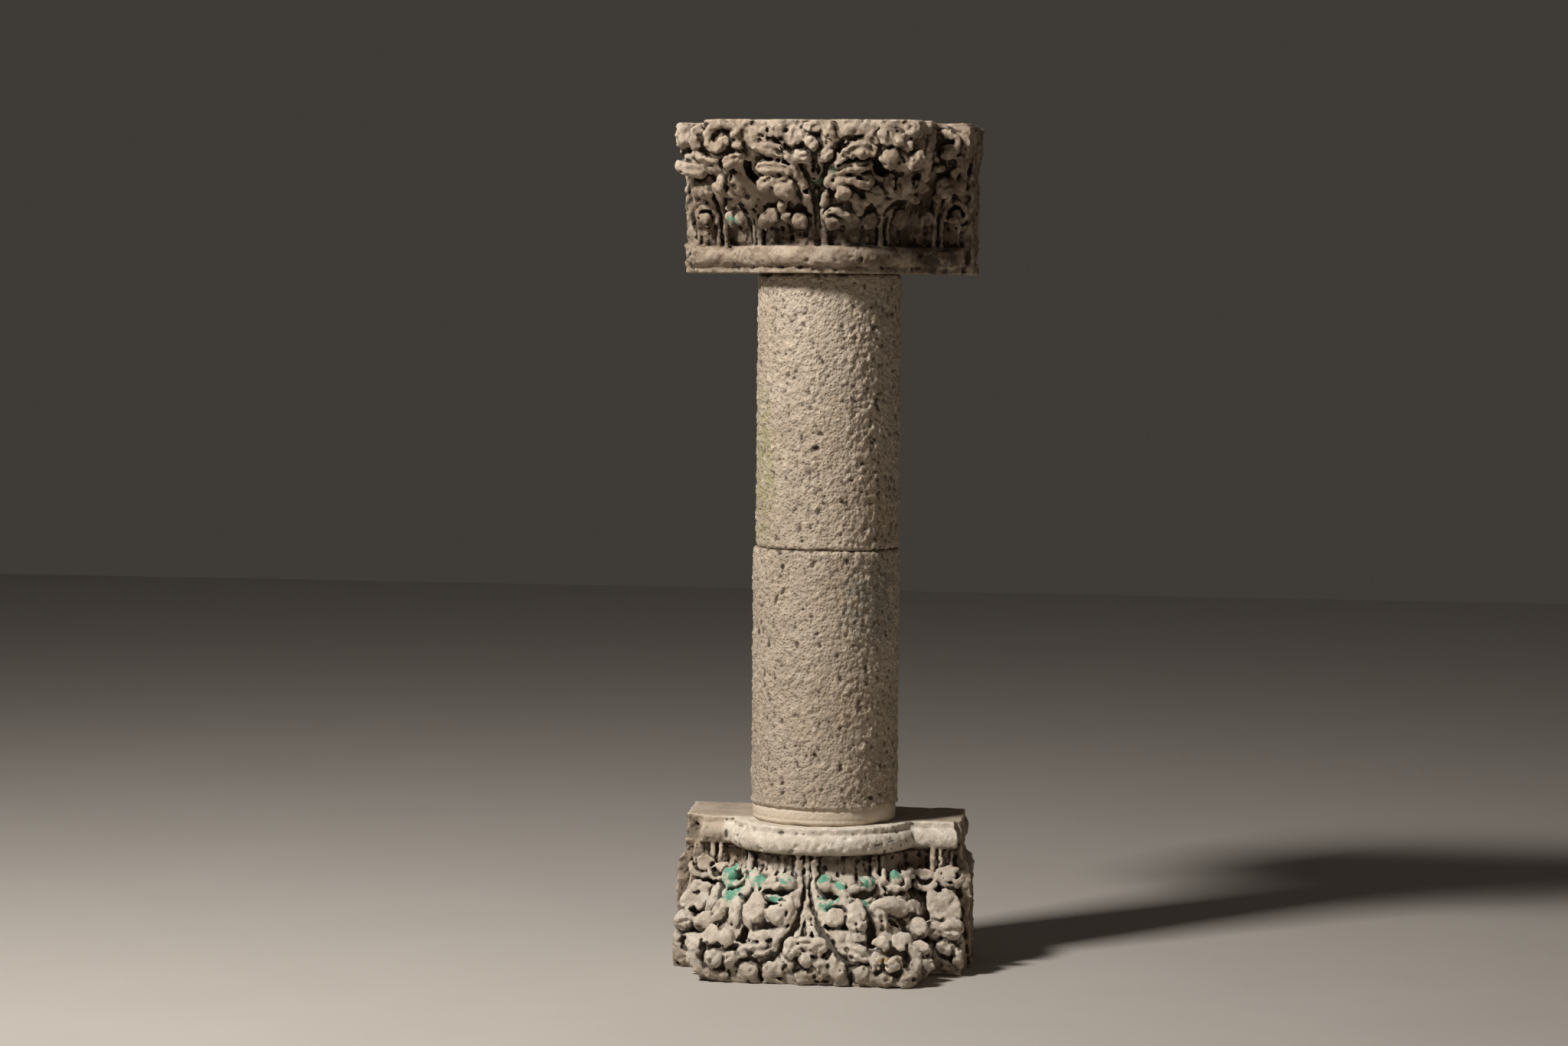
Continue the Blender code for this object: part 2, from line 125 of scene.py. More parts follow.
# Dark film on the rough slab sides: part grime, part painted shade
SIDE_GRIME_AND_SHADE = (0.172, 0.136, 0.100)
SMOOTH_STONE = (0.700, 0.600, 0.480)
# Light stone on the front of the turned-over capital: part washed stone, part painted highlight
WASHED_AND_LIT_STONE = (0.860, 0.795, 0.690)

# Traces of paint, growth and stain: layer, colour, how weak a trace still shows, and strength
TRACES = (("mint", (0.115, 0.365, 0.250), 0.26, 0.92),
          ("moss", (0.070, 0.150, 0.085), 0.25, 0.75),
          ("lichen", (0.300, 0.290, 0.130), 0.35, 0.55),
          ("stain", (0.240, 0.225, 0.195), 0.20, 0.70),
          ("ochre", (0.420, 0.235, 0.075), 0.25, 0.85),
          ("soot", (0.055, 0.047, 0.040), 0.20, 0.80),
          ("ink", (0.030, 0.028, 0.030), 0.30, 0.85))

# Where the traces lie on the capitals, as round marks (x, v, h, radius)
UPPER_SOOT = ((204, 40, 24, 34), (186, 64, 30, 22))
UPPER_MINT = ((-160, 80, 98, 15), (-150, 108, 92, 13), (-176, 62, 92, 12))
UPPER_MOSS = ((3, 168, 130, 14), (3, 190, 165, 14), (16, 200, 160, 12), (30, 220, 185, 13),
              (6, 160, 100, 10))
# Patina on the flanks and wings, darkened there also as painted shade
UPPER_PATINA_AND_SHADE = ((-238, 30, 92, 60), (-236, 30, 150, 44), (196, 60, 90, 70))
LOWER_MINT = ((-152, 106, 90, 27), (-140, 138, 126, 27), (-88, 162, 98, 17), (-60, 190, 122, 12),
              (-42, 184, 84, 14), (29, 184, 84, 16), (54, 180, 94, 15), (36, 190, 128, 20),
              (106, 158, 88, 17), (92, 176, 132, 13), (146, 118, 82, 13), (-112, 140, 90, 14))
LOWER_OCHRE = ((158, 250, 206, 16), (176, 246, 214, 12), (140, 246, 212, 10))
# Patina on the wings, darkened there also as painted shade
LOWER_PATINA_AND_SHADE = ((258, 40, 120, 120), (-268, 30, 190, 80), (-262, 10, 90, 60))

# Strokes on the lower torus, as ends (along it, up it)
INK_STROKES = (((108, 33), (166, 25)), ((126, 44), (131, 50)), ((140, 41), (147, 48)),
               ((147, 41), (142, 48)), ((157, 36), (159, 45)))

# Camera, read off the photograph
CAMERA_DISTANCE = 7.0954
CAMERA_HEIGHT = 1.217
CAMERA_LENS = 90.0
CAMERA_PITCH = 3.334
CAMERA_YAW = -0.621
CAMERA_ROLL = 0.484
COLUMN_TURN = 7.7

# Studio: the floor, the sky, and the lights by name, place, size, power and colour
FLOOR_REACH = 9
FLOOR_TONES = ((0.42, 0.385, 0.350), (0.465, 0.43, 0.39))
SKY_COLOUR = (0.95, 0.84, 0.74, 1.0)
SKY_STRENGTH = 0.052
LIT_POINT = (0.0, 0.0, 0.7)
LIGHTS = (("key", (-1.9, -2.2, 3.7), 0.6, 242.0, (1.0, 0.965, 0.92)),
          ("fill", (3.0, -3.4, 1.4), 2.4, 9.0, (1.0, 0.84, 0.68)))


def ease(share):
    """A soft step from 0 to 1."""
    share = np.clip(share, 0.0, 1.0)
    return share * share * (3.0 - 2.0 * share)


def astragal_out(h):
    """How far the fillet and the torus stand out from the neck."""
    across = (h - FILLET_HEIGHT) / TORUS_HEIGHT * 2.0 - 1.0
    torus = TORUS_SEAT + (TORUS_PROJECTION - TORUS_SEAT) * np.sqrt(np.clip(1.0 - across * across, 0.0, 1.0))
    return np.where(h <= FILLET_HEIGHT, FILLET_PROJECTION, np.where(across >= 1.0, 0.0, torus))


def bell_shape(h):
    """(half width, projection, squareness, wing face, wing half width) of the carved front at a height."""
    flare = ease((h - NECK_TOP) / (HEIGHT - ABACUS_THICKNESS - NECK_TOP)) ** 3.0
    out = astragal_out(h)
    half = NECK_RADIUS + (ABACUS_HALF_FRONT - NECK_RADIUS) * flare + out
    projection = NECK_RADIUS + (ABACUS_PROJECTION - NECK_RADIUS) * flare + out
    squareness = 2.0 + (ABACUS_SQUARENESS - 2.0) * flare
    wing = NECK_WING + (ABACUS_WING - NECK_WING) * flare + out
    wide = NECK_HALF_WIDTH + (ABACUS_HALF_WIDTH - NECK_HALF_WIDTH) * flare + out * 0.5
    return half, projection, squareness, wing, wide


def mass_shape(h):
    """The same five sizes for the solid mass of leaves that the tongues are cut from."""
    share = np.clip((h - MASS_FOOT) / (MASS_TOP - MASS_FOOT), 0.0, 1.0) ** 0.74
    half = MASS_FOOT_RADIUS + (MASS_HALF_WIDTH - MASS_FOOT_RADIUS) * share
    projection = MASS_FOOT_RADIUS + (MASS_PROJECTION - MASS_FOOT_RADIUS) * share
    squareness = 2.0 + 3.0 * share * share
    wing = NECK_WING + (MASS_WING - NECK_WING) * share
    wide = NECK_HALF_WIDTH + (MASS_HALF_SPAN - NECK_HALF_WIDTH) * share
    return half, projection, squareness, wing, wide


def on_bell(angle, h, out=0.0):
    """A place on the bell, at an angle in degrees from its middle, standing out by a distance."""
    half, projection, squareness, _, _ = bell_shape(np.float64(h))
    side, front = math.sin(math.radians(angle)), math.cos(math.radians(angle))
    power = 2.0 / squareness
    return (math.copysign((half + out) * abs(side) ** power, side),
            (projection + out) * abs(front) ** power, h)


def facing(x, v, h):
    """The direction out of the carved face at a place, in plan."""
    half, projection, squareness, _, _ = bell_shape(np.float64(h))
    if abs(x) > half * 0.98 and v < projection * 0.55:
        return 0.0, 1.0
    power = min(squareness, 4.0) - 1.0
    side = math.copysign((abs(x) / half) ** power / half, x)
    front = (max(v, 1.0) / projection) ** power / projection
    size = math.hypot(side, front)
    return side / size, front / size


def spline(points, steps=5):
    """A smooth run through a few points."""
    points = np.array(points, dtype=float)
    padded = np.vstack([2 * points[0] - points[1], points, 2 * points[-1] - points[-2]])
    run = []
    for a, b, c, d in zip(padded, padded[1:], padded[2:], padded[3:]):
        for k in range(steps):
            t = k / steps
            run.append(0.5 * (2 * b + (c - a) * t + (2 * a - 5 * b + 4 * c - d) * t * t
                              + (3 * b - a - 3 * c + d) * t ** 3))
    run.append(points[-1])
    return np.array(run)


def lattice_weights(axis, spacing, count):
    """Soft weights of the lattice points round each place along an axis."""
    place = (axis - axis[0]) / spacing
    cell = np.floor(place).astype(int)
    t = place - cell
    weights = np.zeros((len(axis), count), dtype=np.float32)
    rows = np.arange(len(axis))
    for k, weight in enumerate(((1 - t) ** 3 / 6, (3 * t ** 3 - 6 * t ** 2 + 4) / 6,
                                (-3 * t ** 3 + 3 * t ** 2 + 3 * t + 1) / 6, t ** 3 / 6)):
        weights[rows, cell + k] += weight
    return weights


def lattice_noise(axes, spacings, seed):
    """Smooth noise on a grid, about 1 high, with lumps as large as the spacings."""
    counts = [int((axis[-1] - axis[0]) / spacing) + 5 for axis, spacing in zip(axes, spacings)]
    made = np.random.default_rng(seed).standard_normal(counts).astype(np.float32)
    for axis, spacing, count in zip(axes, spacings, counts):
        made = np.moveaxis(np.tensordot(lattice_weights(axis, spacing, count), made, axes=(1, 0)), 0, -1)
    return made / made.std()


class Stone:
    """A block of stone as distances from its skin, in millimetres on a grid, negative inside."""

    def __init__(self, low, high, step):
        self.axes = [np.arange(a, b + step, step, dtype=np.float32) for a, b in zip(low, high)]
        self.step = step
        self.skin = np.full([len(axis) for axis in self.axes], 50.0, dtype=np.float32)

    def window(self, low, high):
        """The part of the grid between two corners: its slices and its three coordinates."""
        cuts = []
        for axis, a, b in zip(self.axes, low, high):
            cuts.append(slice(int(np.searchsorted(axis, a)), int(np.searchsorted(axis, b))))
        x, v, h = [axis[cut] for axis, cut in zip(self.axes, cuts)]
        return tuple(cuts), x[:, None, None], v[None, :, None], h[None, None, :]

    def join(self, cuts, shape, blend):
        """Adds a shape, with a soft seam as wide as the blend."""
        here = self.skin[cuts]
        near = np.maximum(blend - np.abs(here - shape), 0.0) / blend
        self.skin[cuts] = np.minimum(here, shape) - near * near * blend * 0.25

    def remove(self, cuts, shape, blend):
        """Cuts a shape out, with a soft edge as wide as the blend."""
        here = self.skin[cuts]
        near = np.maximum(blend - np.abs(here + shape), 0.0) / blend
        self.skin[cuts] = np.maximum(here, -shape) + near * near * blend * 0.25

    def ball_shape(self, place, size, turn, spare, square=2.0):
        """A stretched ball: its half sizes run across the face, out of it and up it, turned by degrees."""
        place = np.array(place, dtype=float)
        out_x, out_v = facing(*place)
        cos, sin = math.cos(math.radians(turn)), math.sin(math.radians(turn))
        reach = max(size) + spare
        cuts, x, v, h = self.window(place - reach, place + reach)
        x, v, h = x - place[0], v - place[1], h - place[2]
        across = x * out_v - v * out_x
        out = x * out_x + v * out_v
        along, up = across * cos + h * sin, h * cos - across * sin
        a, b, c = size
        flat = np.sqrt((along / a) ** 2 + (up / c) ** 2)
        if square > 2.0:
            flat = (np.abs(along / a) ** square + np.abs(up / c) ** square) ** (1.0 / square)
        near = np.sqrt(flat ** 2 + (out / b) ** 2)
        steep = np.sqrt((along / a ** 2) ** 2 + (out / b ** 2) ** 2 + (up / c ** 2) ** 2)
        return cuts, near * (near - 1.0) / np.maximum(steep, 1e-4)

    def ball(self, place, size, turn=0.0, blend=1.8):
        """A stretched ball of stone."""
        self.join(*self.ball_shape(place, size, turn, blend + 6.0), blend)

    def pad(self, place, size, turn=0.0, blend=1.6):
        """A squarish cushion of stone."""
        self.join(*self.ball_shape(place, size, turn, blend + 6.0, 3.0), blend)

    def scoop(self, place, size, turn=0.0, blend=2.5):
        """Removes a stretched ball."""
        self.remove(*self.ball_shape(place, size, turn, blend + 6.0), blend)

    def chop(self, place, size, turn=0.0, blend=2.5):
        """Removes a squarish piece."""
        self.remove(*self.ball_shape(place, size, turn, blend + 6.0, 4.0), blend)

    def rope_shape(self, points, spare):
        """A round rope through points (x, v, h, radius)."""
        run = spline(points)
        reach = run[:, 3].max() + spare
        cuts, x, v, h = self.window(run[:, :3].min(axis=0) - reach, run[:, :3].max(axis=0) + reach)
        shape = np.full(np.broadcast_shapes(x.shape, v.shape, h.shape), 99.0, dtype=np.float32)
        for start, end in zip(run, run[1:]):
            low = np.minimum(start, end)[:3] - reach
            high = np.maximum(start, end)[:3] + reach
            inner, x, v, h = self.window(low, high)
            inner = tuple(slice(max(a.start - b.start, 0), max(a.stop - b.start, 0))
                          for a, b in zip(inner, cuts))
            step = end - start
            length = max(float(step[:3] @ step[:3]), 1e-6)
            t = ((x - start[0]) * step[0] + (v - start[1]) * step[1] + (h - start[2]) * step[2]) / length
            t = np.clip(t, 0.0, 1.0)
            far = np.sqrt((x - start[0] - t * step[0]) ** 2 + (v - start[1] - t * step[1]) ** 2
                          + (h - start[2] - t * step[2]) ** 2) - (start[3] + t * step[3])
            shape[inner] = np.minimum(shape[inner], far)
        return cuts, shape

    def rope(self, points, blend=2.0):
        """A round strand of stone."""
        self.join(*self.rope_shape(points, blend + 6.0), blend)

    def drill(self, points, blend=2.0):
        """Removes a round strand."""
        self.remove(*self.rope_shape(points, blend + 6.0), blend)


def front_faces(stone, sizes, out):
    """Distances from a round front and from its wings, both grown outwards by a distance."""
    x, v, h = stone.axes
    half, projection, squareness, wing, wide = sizes
    side_part = (np.abs(x)[:, None] / (half + out)) ** squareness
    front_part = (np.maximum(v, 0.0)[:, None] / (projection + out)) ** squareness
    near = (side_part[:, None, :] + front_part[None, :, :]) ** (1.0 / squareness)
    radius = np.hypot(x[:, None], np.maximum(v, 0.0)[None, :])[:, :, None]
    bell = (radius * (1.0 - 1.0 / np.maximum(near, 0.02))).astype(np.float32)
    wings = np.maximum(np.abs(x)[:, None, None] - wide - out,
                       v[None, :, None] - wing - out).astype(np.float32)
    return bell, wings


def flatten_face(stone, spare=0.0):
    """Cuts the carving's fronts back to the face of the block that it was carved from."""
    h = stone.axes[2].astype(float)
    relief = FACE_RELIEF[0] + (FACE_RELIEF[1] - FACE_RELIEF[0]) * ease((h - 190.0) / 32.0)
    bell, wings = front_faces(stone, mass_shape(h), relief + spare)
    face = np.minimum(bell, wings) - 40.0 * (1.0 - ease((h - NECK_TOP) / 6.0))
    blend = 6.0
    near = np.maximum(blend - np.abs(stone.skin - face), 0.0) / blend
    stone.skin = np.maximum(stone.skin, face) + near * near * blend * 0.25


def add_block(stone, skew, upper):
    """The uncarved stone: bell, wings, astragal and abacus, with the slab behind."""
    x, v, h = stone.axes
    everywhere = (slice(None),) * 3
    for sizes in (bell_shape(h.astype(float)), mass_shape(h.astype(float))):
        bell, wings = front_faces(stone, sizes, 0.0)
        stone.join(everywhere, bell, 2.0)
        stone.join(everywhere, wings, 6.0)
    wide = bell_shape(h.astype(float))[4]
    slab = np.full(len(h), SLAB_HALF_WIDTH)
    if not upper:
        slab = slab + SLAB_NARROWING * (2.0 * ease((h - SLAB_STEP[0]) / (SLAB_STEP[1] - SLAB_STEP[0])) - 1.0)
    back = np.clip(-v / SLAB_DEPTH, 0.0, 1.0) * skew
    sides = np.abs(x[:, None] - back[None, :])[:, :, None] - np.maximum(slab, wide + 1.5)
    stone.join(everywhere, np.maximum(sides, v[None, :, None]).astype(np.float32), 2.0)


def behind(points, depth):
    """Points (x, v, h, radius) moved back into the stone."""
    made = []
    for x, v, h, radius in points:
        out_x, out_v = facing(x, v, h)
        made.append((x - depth * out_x, v - depth * out_v, h, radius))
    return made


def slot(stone, points, depth=14.0, blend=1.4):
    """A deep cut along points (x, v, h, radius), drilled in steps back into the stone."""
    for share in (0.0, 0.5, 1.0):
        stone.drill(behind(points, depth * share), blend)


def tongue(stone, points, vein=0.42):
    """A finger of leaf that grows from its root to its tip, with a shallow vein hollowed along its face."""
    stone.rope([(x, v, h, radius * 1.14) for x, v, h, radius in points], 1.6)
    if vein > 0.0:
        run = [behind([point], -1.15 * point[3])[0] for point in points[1:]]
        stone.drill([(x, v, h, radius * vein * 0.8) for x, v, h, radius in run], 3.0)


def hooded(stone, ball, size, mouth, lip=()):
    """A curled tip: a ball in a deep mouth under the edge of the leaf, and the lip that runs over it."""
    slot(stone, mouth, 10.0)
    stone.ball(ball, size)
    if lip:
        stone.rope(lip, 1.6)


def curl(stone, place, radius, spring, tall=1.08):
    """A curled tip that springs from one side: its leaf, the mouth under the edge, and the ball in it."""
    x, v, h = place
    out_x, out_v = facing(x, v, h)

    def arc(start, end, reach, out, thick):
        made = []
        for k in range(6):
            angle = math.radians(start + (end - start) * k / 5.0)
            across = -spring * math.cos(angle) * reach
            swell = 0.72 + 0.28 * math.sin(math.pi * k / 5.0)
            made.append((x + across * out_v + out * out_x, v - across * out_x + out * out_v,
                         h + math.sin(angle) * reach * tall, thick * swell))
        return made

    stone.ball((x - 4.0 * out_x, v - 4.0 * out_v, h + radius * 0.75), (radius + 11.0, 13.0, radius + 9.0))
    slot(stone, arc(170.0, 12.0, radius + 2.5, 5.0, 4.6), 12.0)
    stone.ball((x, v, h), (radius * 0.92, radius, radius * tall))
    stone.rope(arc(188.0, 40.0, radius + 9.0, 1.0, 6.8))


def lobe(stone, place, size, turn=0.0, crease=1.0):
    """A rounded lobe of leaf, with a hollow worn along it."""
    stone.ball(place, (size[0] * 1.22, size[1] * 1.15, size[2] * 1.22), turn)
    x, v, h = place
    out_x, out_v = facing(x, v, h)
    longer = size[0] >= size[2]
    angle = math.radians(turn if longer else turn + 90.0)
    length, width = max(size[0], size[2]), min(size[0], size[2])

    def point(t, s, out, thick):
        across = t * length * math.cos(angle) - s * width * math.sin(angle)
        up = t * length * math.sin(angle) + s * width * math.cos(angle)
        return (x + across * out_v + out * out_x, v - across * out_x + out * out_v, h + up, thick)

    top = size[1] + 1.4
    stone.drill([point(-0.8, 0.15, top - 3.0, 1.8), point(0.0, -0.05, top + 0.2, 3.0 * crease),
                 point(0.85, 0.15, top - 4.0, 2.0)], 3.0)


def ring(stone, place, radius, thick, start, end):
    """A drilled ring, or a part of one, round an eye on a forward face."""
    x, v, h = place
    made = []
    for k in range(9):
        angle = math.radians(start + (end - start) * k / 8.0)
        made.append((x + radius * math.cos(angle), v, h + radius * math.sin(angle), thick))
    slot(stone, made, 14.0)


def middle_leaf(stone, side, middle, foot, size):
    """The rib of the big leaf beside the middle, up to its tip, and the deep groove inside it."""
    offsets = ((10.5, 155, 50, 7.3), (10.5, 162, 90, 7.6), (13, 177, 119, 9.6), (21, 195, 149, 11.4),
               (32, 209, 174, 12), (46, 220, 196, 11.2), (66, 228, 214, 9.8))
    rib = []
    groove = []
    for x, v, h, radius in offsets:
        lean = foot * (1.0 - ease((h - 60) / 120))
        rib.append((middle + side * x * size + lean, v, h, radius))
        groove.append((middle + side * (x * size - 10.0 + h * 0.004) + lean, v + 5.0 + (h - 50) * 0.04,
                       h + (h - 50) * 0.12, 3.2 + (h - 50) * 0.010))
    stone.rope(rib)
    slot(stone, groove, 9)


def side_trunk(stone, side):
    """The trunk between the middle leaf and the side leaf, bending outwards as it rises."""
    stone.rope([(side * 107, 113, 48, 5.8), (side * 108, 118, 83, 6), (side * 113, 128, 110, 7.6),
                (side * 123, 138, 129, 9), (side * 140, 139, 143, 10.5), (side * 152, 135, 156, 11)])
    stone.rope([(side * 118, 101, 48, 3.8), (side * 119, 108, 84, 4.4), (side * 127, 118, 112, 5.4)])
    stone.rope([(side * 121, 138, 125, 7.3), (side * 102, 157, 136, 8), (side * 88, 170, 147, 8)])
    stone.drill([(side * 112, 120, 56, 1.8), (side * 114, 126, 90, 2), (side * 121, 138, 112, 2.2)])


def wing_trunk(stone, side, x=207.0):
    """The trunk on a wing, in two strands."""
    stone.rope([(side * (x - 6), 27, 48, 4.8), (side * (x - 4), 34, 92, 5.2), (side * x, 46, 118, 6.6),
                (side * (x + 4), 60, 138, 8.6)])
    stone.rope([(side * (x + 8), 25, 48, 4.2), (side * (x + 9), 32, 92, 4.6),
                (side * (x + 14), 44, 118, 5.6), (side * (x + 24), 58, 138, 7.4)])
    stone.drill([(side * (x + 1), 32, 54, 1.8), (side * (x + 3), 40, 96, 2),
                 (side * (x + 8), 54, 122, 2.4)])


def flutes(stone):
    """Uneven upright strands of leaf on the bell above the astragal, and the wings' first fold."""
    angle = -76.0
    k = 0
    while angle < 78.0:
        gap = 7.0 + 2.6 * math.sin(2.3 * k)
        tall = 88.0 + 6.0 * math.sin(3.1 * k)
        slot(stone,
             [(*on_bell(angle, 53, 1.8), 1.2), (*on_bell(angle + 0.6, 72, 1.8), 1.8 + 0.7 * math.sin(k)),
              (*on_bell(angle, tall, 1.8), 2.4)], 2.4, 1.6)
        angle += gap
        k += 1
    for side in (-1, 1):
        for x in (176, 191, 203, 216, 230):
            slot(stone, [(side * x, 14, 53, 1.2), (side * (x + 1), 17, 88, 2)], 2.4, 1.6)
        slot(stone, [(side * 171, 46, 16, 1.8), (side * 173, 48, 32, 2.2), (side * 170, 46, 46, 1.8)], 8, 2)


def stem(stone, middle, foot, spread):
    """The stem up the middle, forking under the fleuron."""
    low = middle + foot
    stone.rope([(low, 153, 48, 5.4), (low, 158, 95, 5.4), (low + 1, 167, 129, 6.8),
                (middle + 2, 181, 154, 8.2)])
    fork = (middle + 2, 181, 151, 6.6)
    stone.rope([fork, (middle - spread * 0.45, 198, 172, 6.4), (middle - spread, 217, 194, 7.6)])
    stone.rope([fork, (middle + spread * 0.55, 198, 172, 6.4), (middle + spread * 1.15, 217, 194, 7.6)])
    stone.rope([fork, (middle + 3, 198, 176, 5.2), (middle + 4, 214, 198, 6)])
    for x in (-0.30, 0.48):
        slot(stone, [(middle + spread * x * 0.7, 194, 148, 1.6), (middle + spread * x, 206, 168, 2.6),
                     (middle + spread * x * 1.5, 222, 188, 2.8)], 12)


def upper_flowers(stone):
    """Fleuron, the left scroll, the right rosette and the volutes on the wings, as they survive."""
    stone.ball((1, 216, 230), (34, 14, 30))
    stone.ball((1, 236, 226), (13, 13, 13))
    ring(stone, (1, 246, 226), 17, 3, 130, 300)
    lobe(stone, (-17, 231, 203), (15, 12, 10), -8)
    lobe(stone, (29, 228, 238), (13, 14, 23))
    lobe(stone, (-31, 225, 239), (15, 14, 18), -12)
    lobe(stone, (3, 227, 255), (20, 14, 12))
    lobe(stone, (24, 228, 207), (14, 13, 12), 30)

    stone.ball((-173, 212, 232), (29, 16, 28))
    stone.rope([(-155, 236, 228, 11), (-164, 236, 219, 10), (-175, 236, 218, 8.6), (-183, 236, 228, 7.8),
                (-182, 236, 243, 7.8), (-173, 235, 253, 8), (-160, 233, 257, 8), (-145, 231, 256, 7.2),
                (-134, 229, 251, 6.4)])
    stone.drill([(-166, 249, 229, 4.4), (-171, 249, 238, 5.4), (-165, 249, 246, 5), (-152, 247, 247, 4.2),
                 (-141, 243, 246, 3)])
    stone.ball((-134, 231, 241), (11, 12, 9.5))
    stone.ball((-133, 231, 222), (11, 12, 9.5))
    stone.ball((-178, 218, 181), (24, 15, 11), -6)
    tongue(stone, [(-164, 224, 190, 9), (-150, 228, 192, 12), (-138, 229, 198, 11.5), (-126, 227, 205, 7)],
           0.3)
    tongue(stone, [(-204, 212, 205, 6), (-192, 223, 195, 9.5), (-180, 226, 189, 11), (-169, 225, 189, 10)],
           0.3)
    slot(stone, [(-164, 238, 198, 2.6), (-163, 236, 186, 2.4)], 8)
    stone.ball((-203, 208, 234), (11, 20, 26))
    stone.drill([(-160, 240, 208, 3), (-178, 236, 200, 3.6), (-190, 230, 208, 3)])
    stone.scoop((-199, 230, 212), (8, 9, 11), 20)

    stone.ball((160, 208, 218), (29, 16, 30))
    lobe(stone, (132, 230, 238), (13, 13, 16))
    stone.ball((154, 236, 232), (13, 13, 11.5))
    ring(stone, (156, 245, 231), 16.5, 3.2, -110, 60)
    stone.ball((160, 210, 190), (24, 14, 12))
    stone.pad((136, 230, 200), (18, 15, 16), 24)
    stone.ball((166, 228, 221), (12, 13, 11))
    lobe(stone, (185, 223, 195), (12, 15, 17))
    stone.scoop((184, 239, 197), (3.6, 8, 3.6))
    stone.ball((176, 220, 249), (20, 16, 17))
    stone.ball((157, 216, 193), (17, 14, 11))
    stone.rope([(199, 190, 266, 6.6), (199, 186, 241, 7.4), (198, 180, 215, 7.4), (195, 168, 190, 7.4),
                (190, 150, 169, 7)])

    stone.ball((-233, 78, 214), (20, 18, 26))
    lobe(stone, (-246, 86, 240), (16, 19, 20), -10)
    stone.rope([(-228, 96, 246, 5.5), (-226, 98, 228, 6.5), (-232, 97, 212, 5.5)])
    tongue(stone, [(-257, 78, 191, 10), (-242, 86, 185, 13), (-222, 88, 182, 12)], 0.3)
    stone.drill([(-256, 98, 208, 2.6), (-238, 103, 206, 3.4), (-220, 96, 204, 2.8)])

    stone.ball((224, 66, 222), (28, 16, 31))
    stone.ball((225, 93, 216), (15, 15, 14))
    stone.rope([(238, 94, 222, 8.6), (242, 94, 233, 7.4), (234, 93, 245, 7.4), (219, 92, 249, 8.2),
                (205, 90, 245, 8), (199, 88, 233, 7.2), (197, 86, 217, 6.8), (201, 84, 203, 6.8)])
    stone.drill([(214, 106, 228, 3.6), (223, 109, 234, 4), (233, 108, 231, 3)])
    stone.rope([(243, 86, 206, 7.2), (244, 82, 190, 7.8), (232, 77, 177, 7.6)])
    stone.ball((206, 82, 188), (12, 14, 9))
    stone.drill([(221, 96, 198, 2.8), (226, 92, 186, 3.2)])


def upper_voids(stone):
    """The deep shadows between the leaves and the flowers of the upper capital."""
    slot(stone, [(-116, 200, 208, 8), (-118, 192, 193, 10), (-116, 184, 178, 10), (-106, 180, 163, 8)], 18)
    slot(stone, [(113, 206, 228, 8), (108, 202, 212, 10), (108, 196, 196, 11), (113, 188, 182, 10),
                 (126, 180, 177, 8)], 18)
    slot(stone, [(138, 182, 178, 7), (160, 168, 178, 7)], 14)
    slot(stone, [(-150, 176, 178, 7), (-172, 160, 174, 6)], 14)
    slot(stone, [(200, 104, 172, 9), (204, 84, 166, 8)], 12)
    slot(stone, [(-206, 100, 172, 8), (-206, 84, 164, 7)], 12)


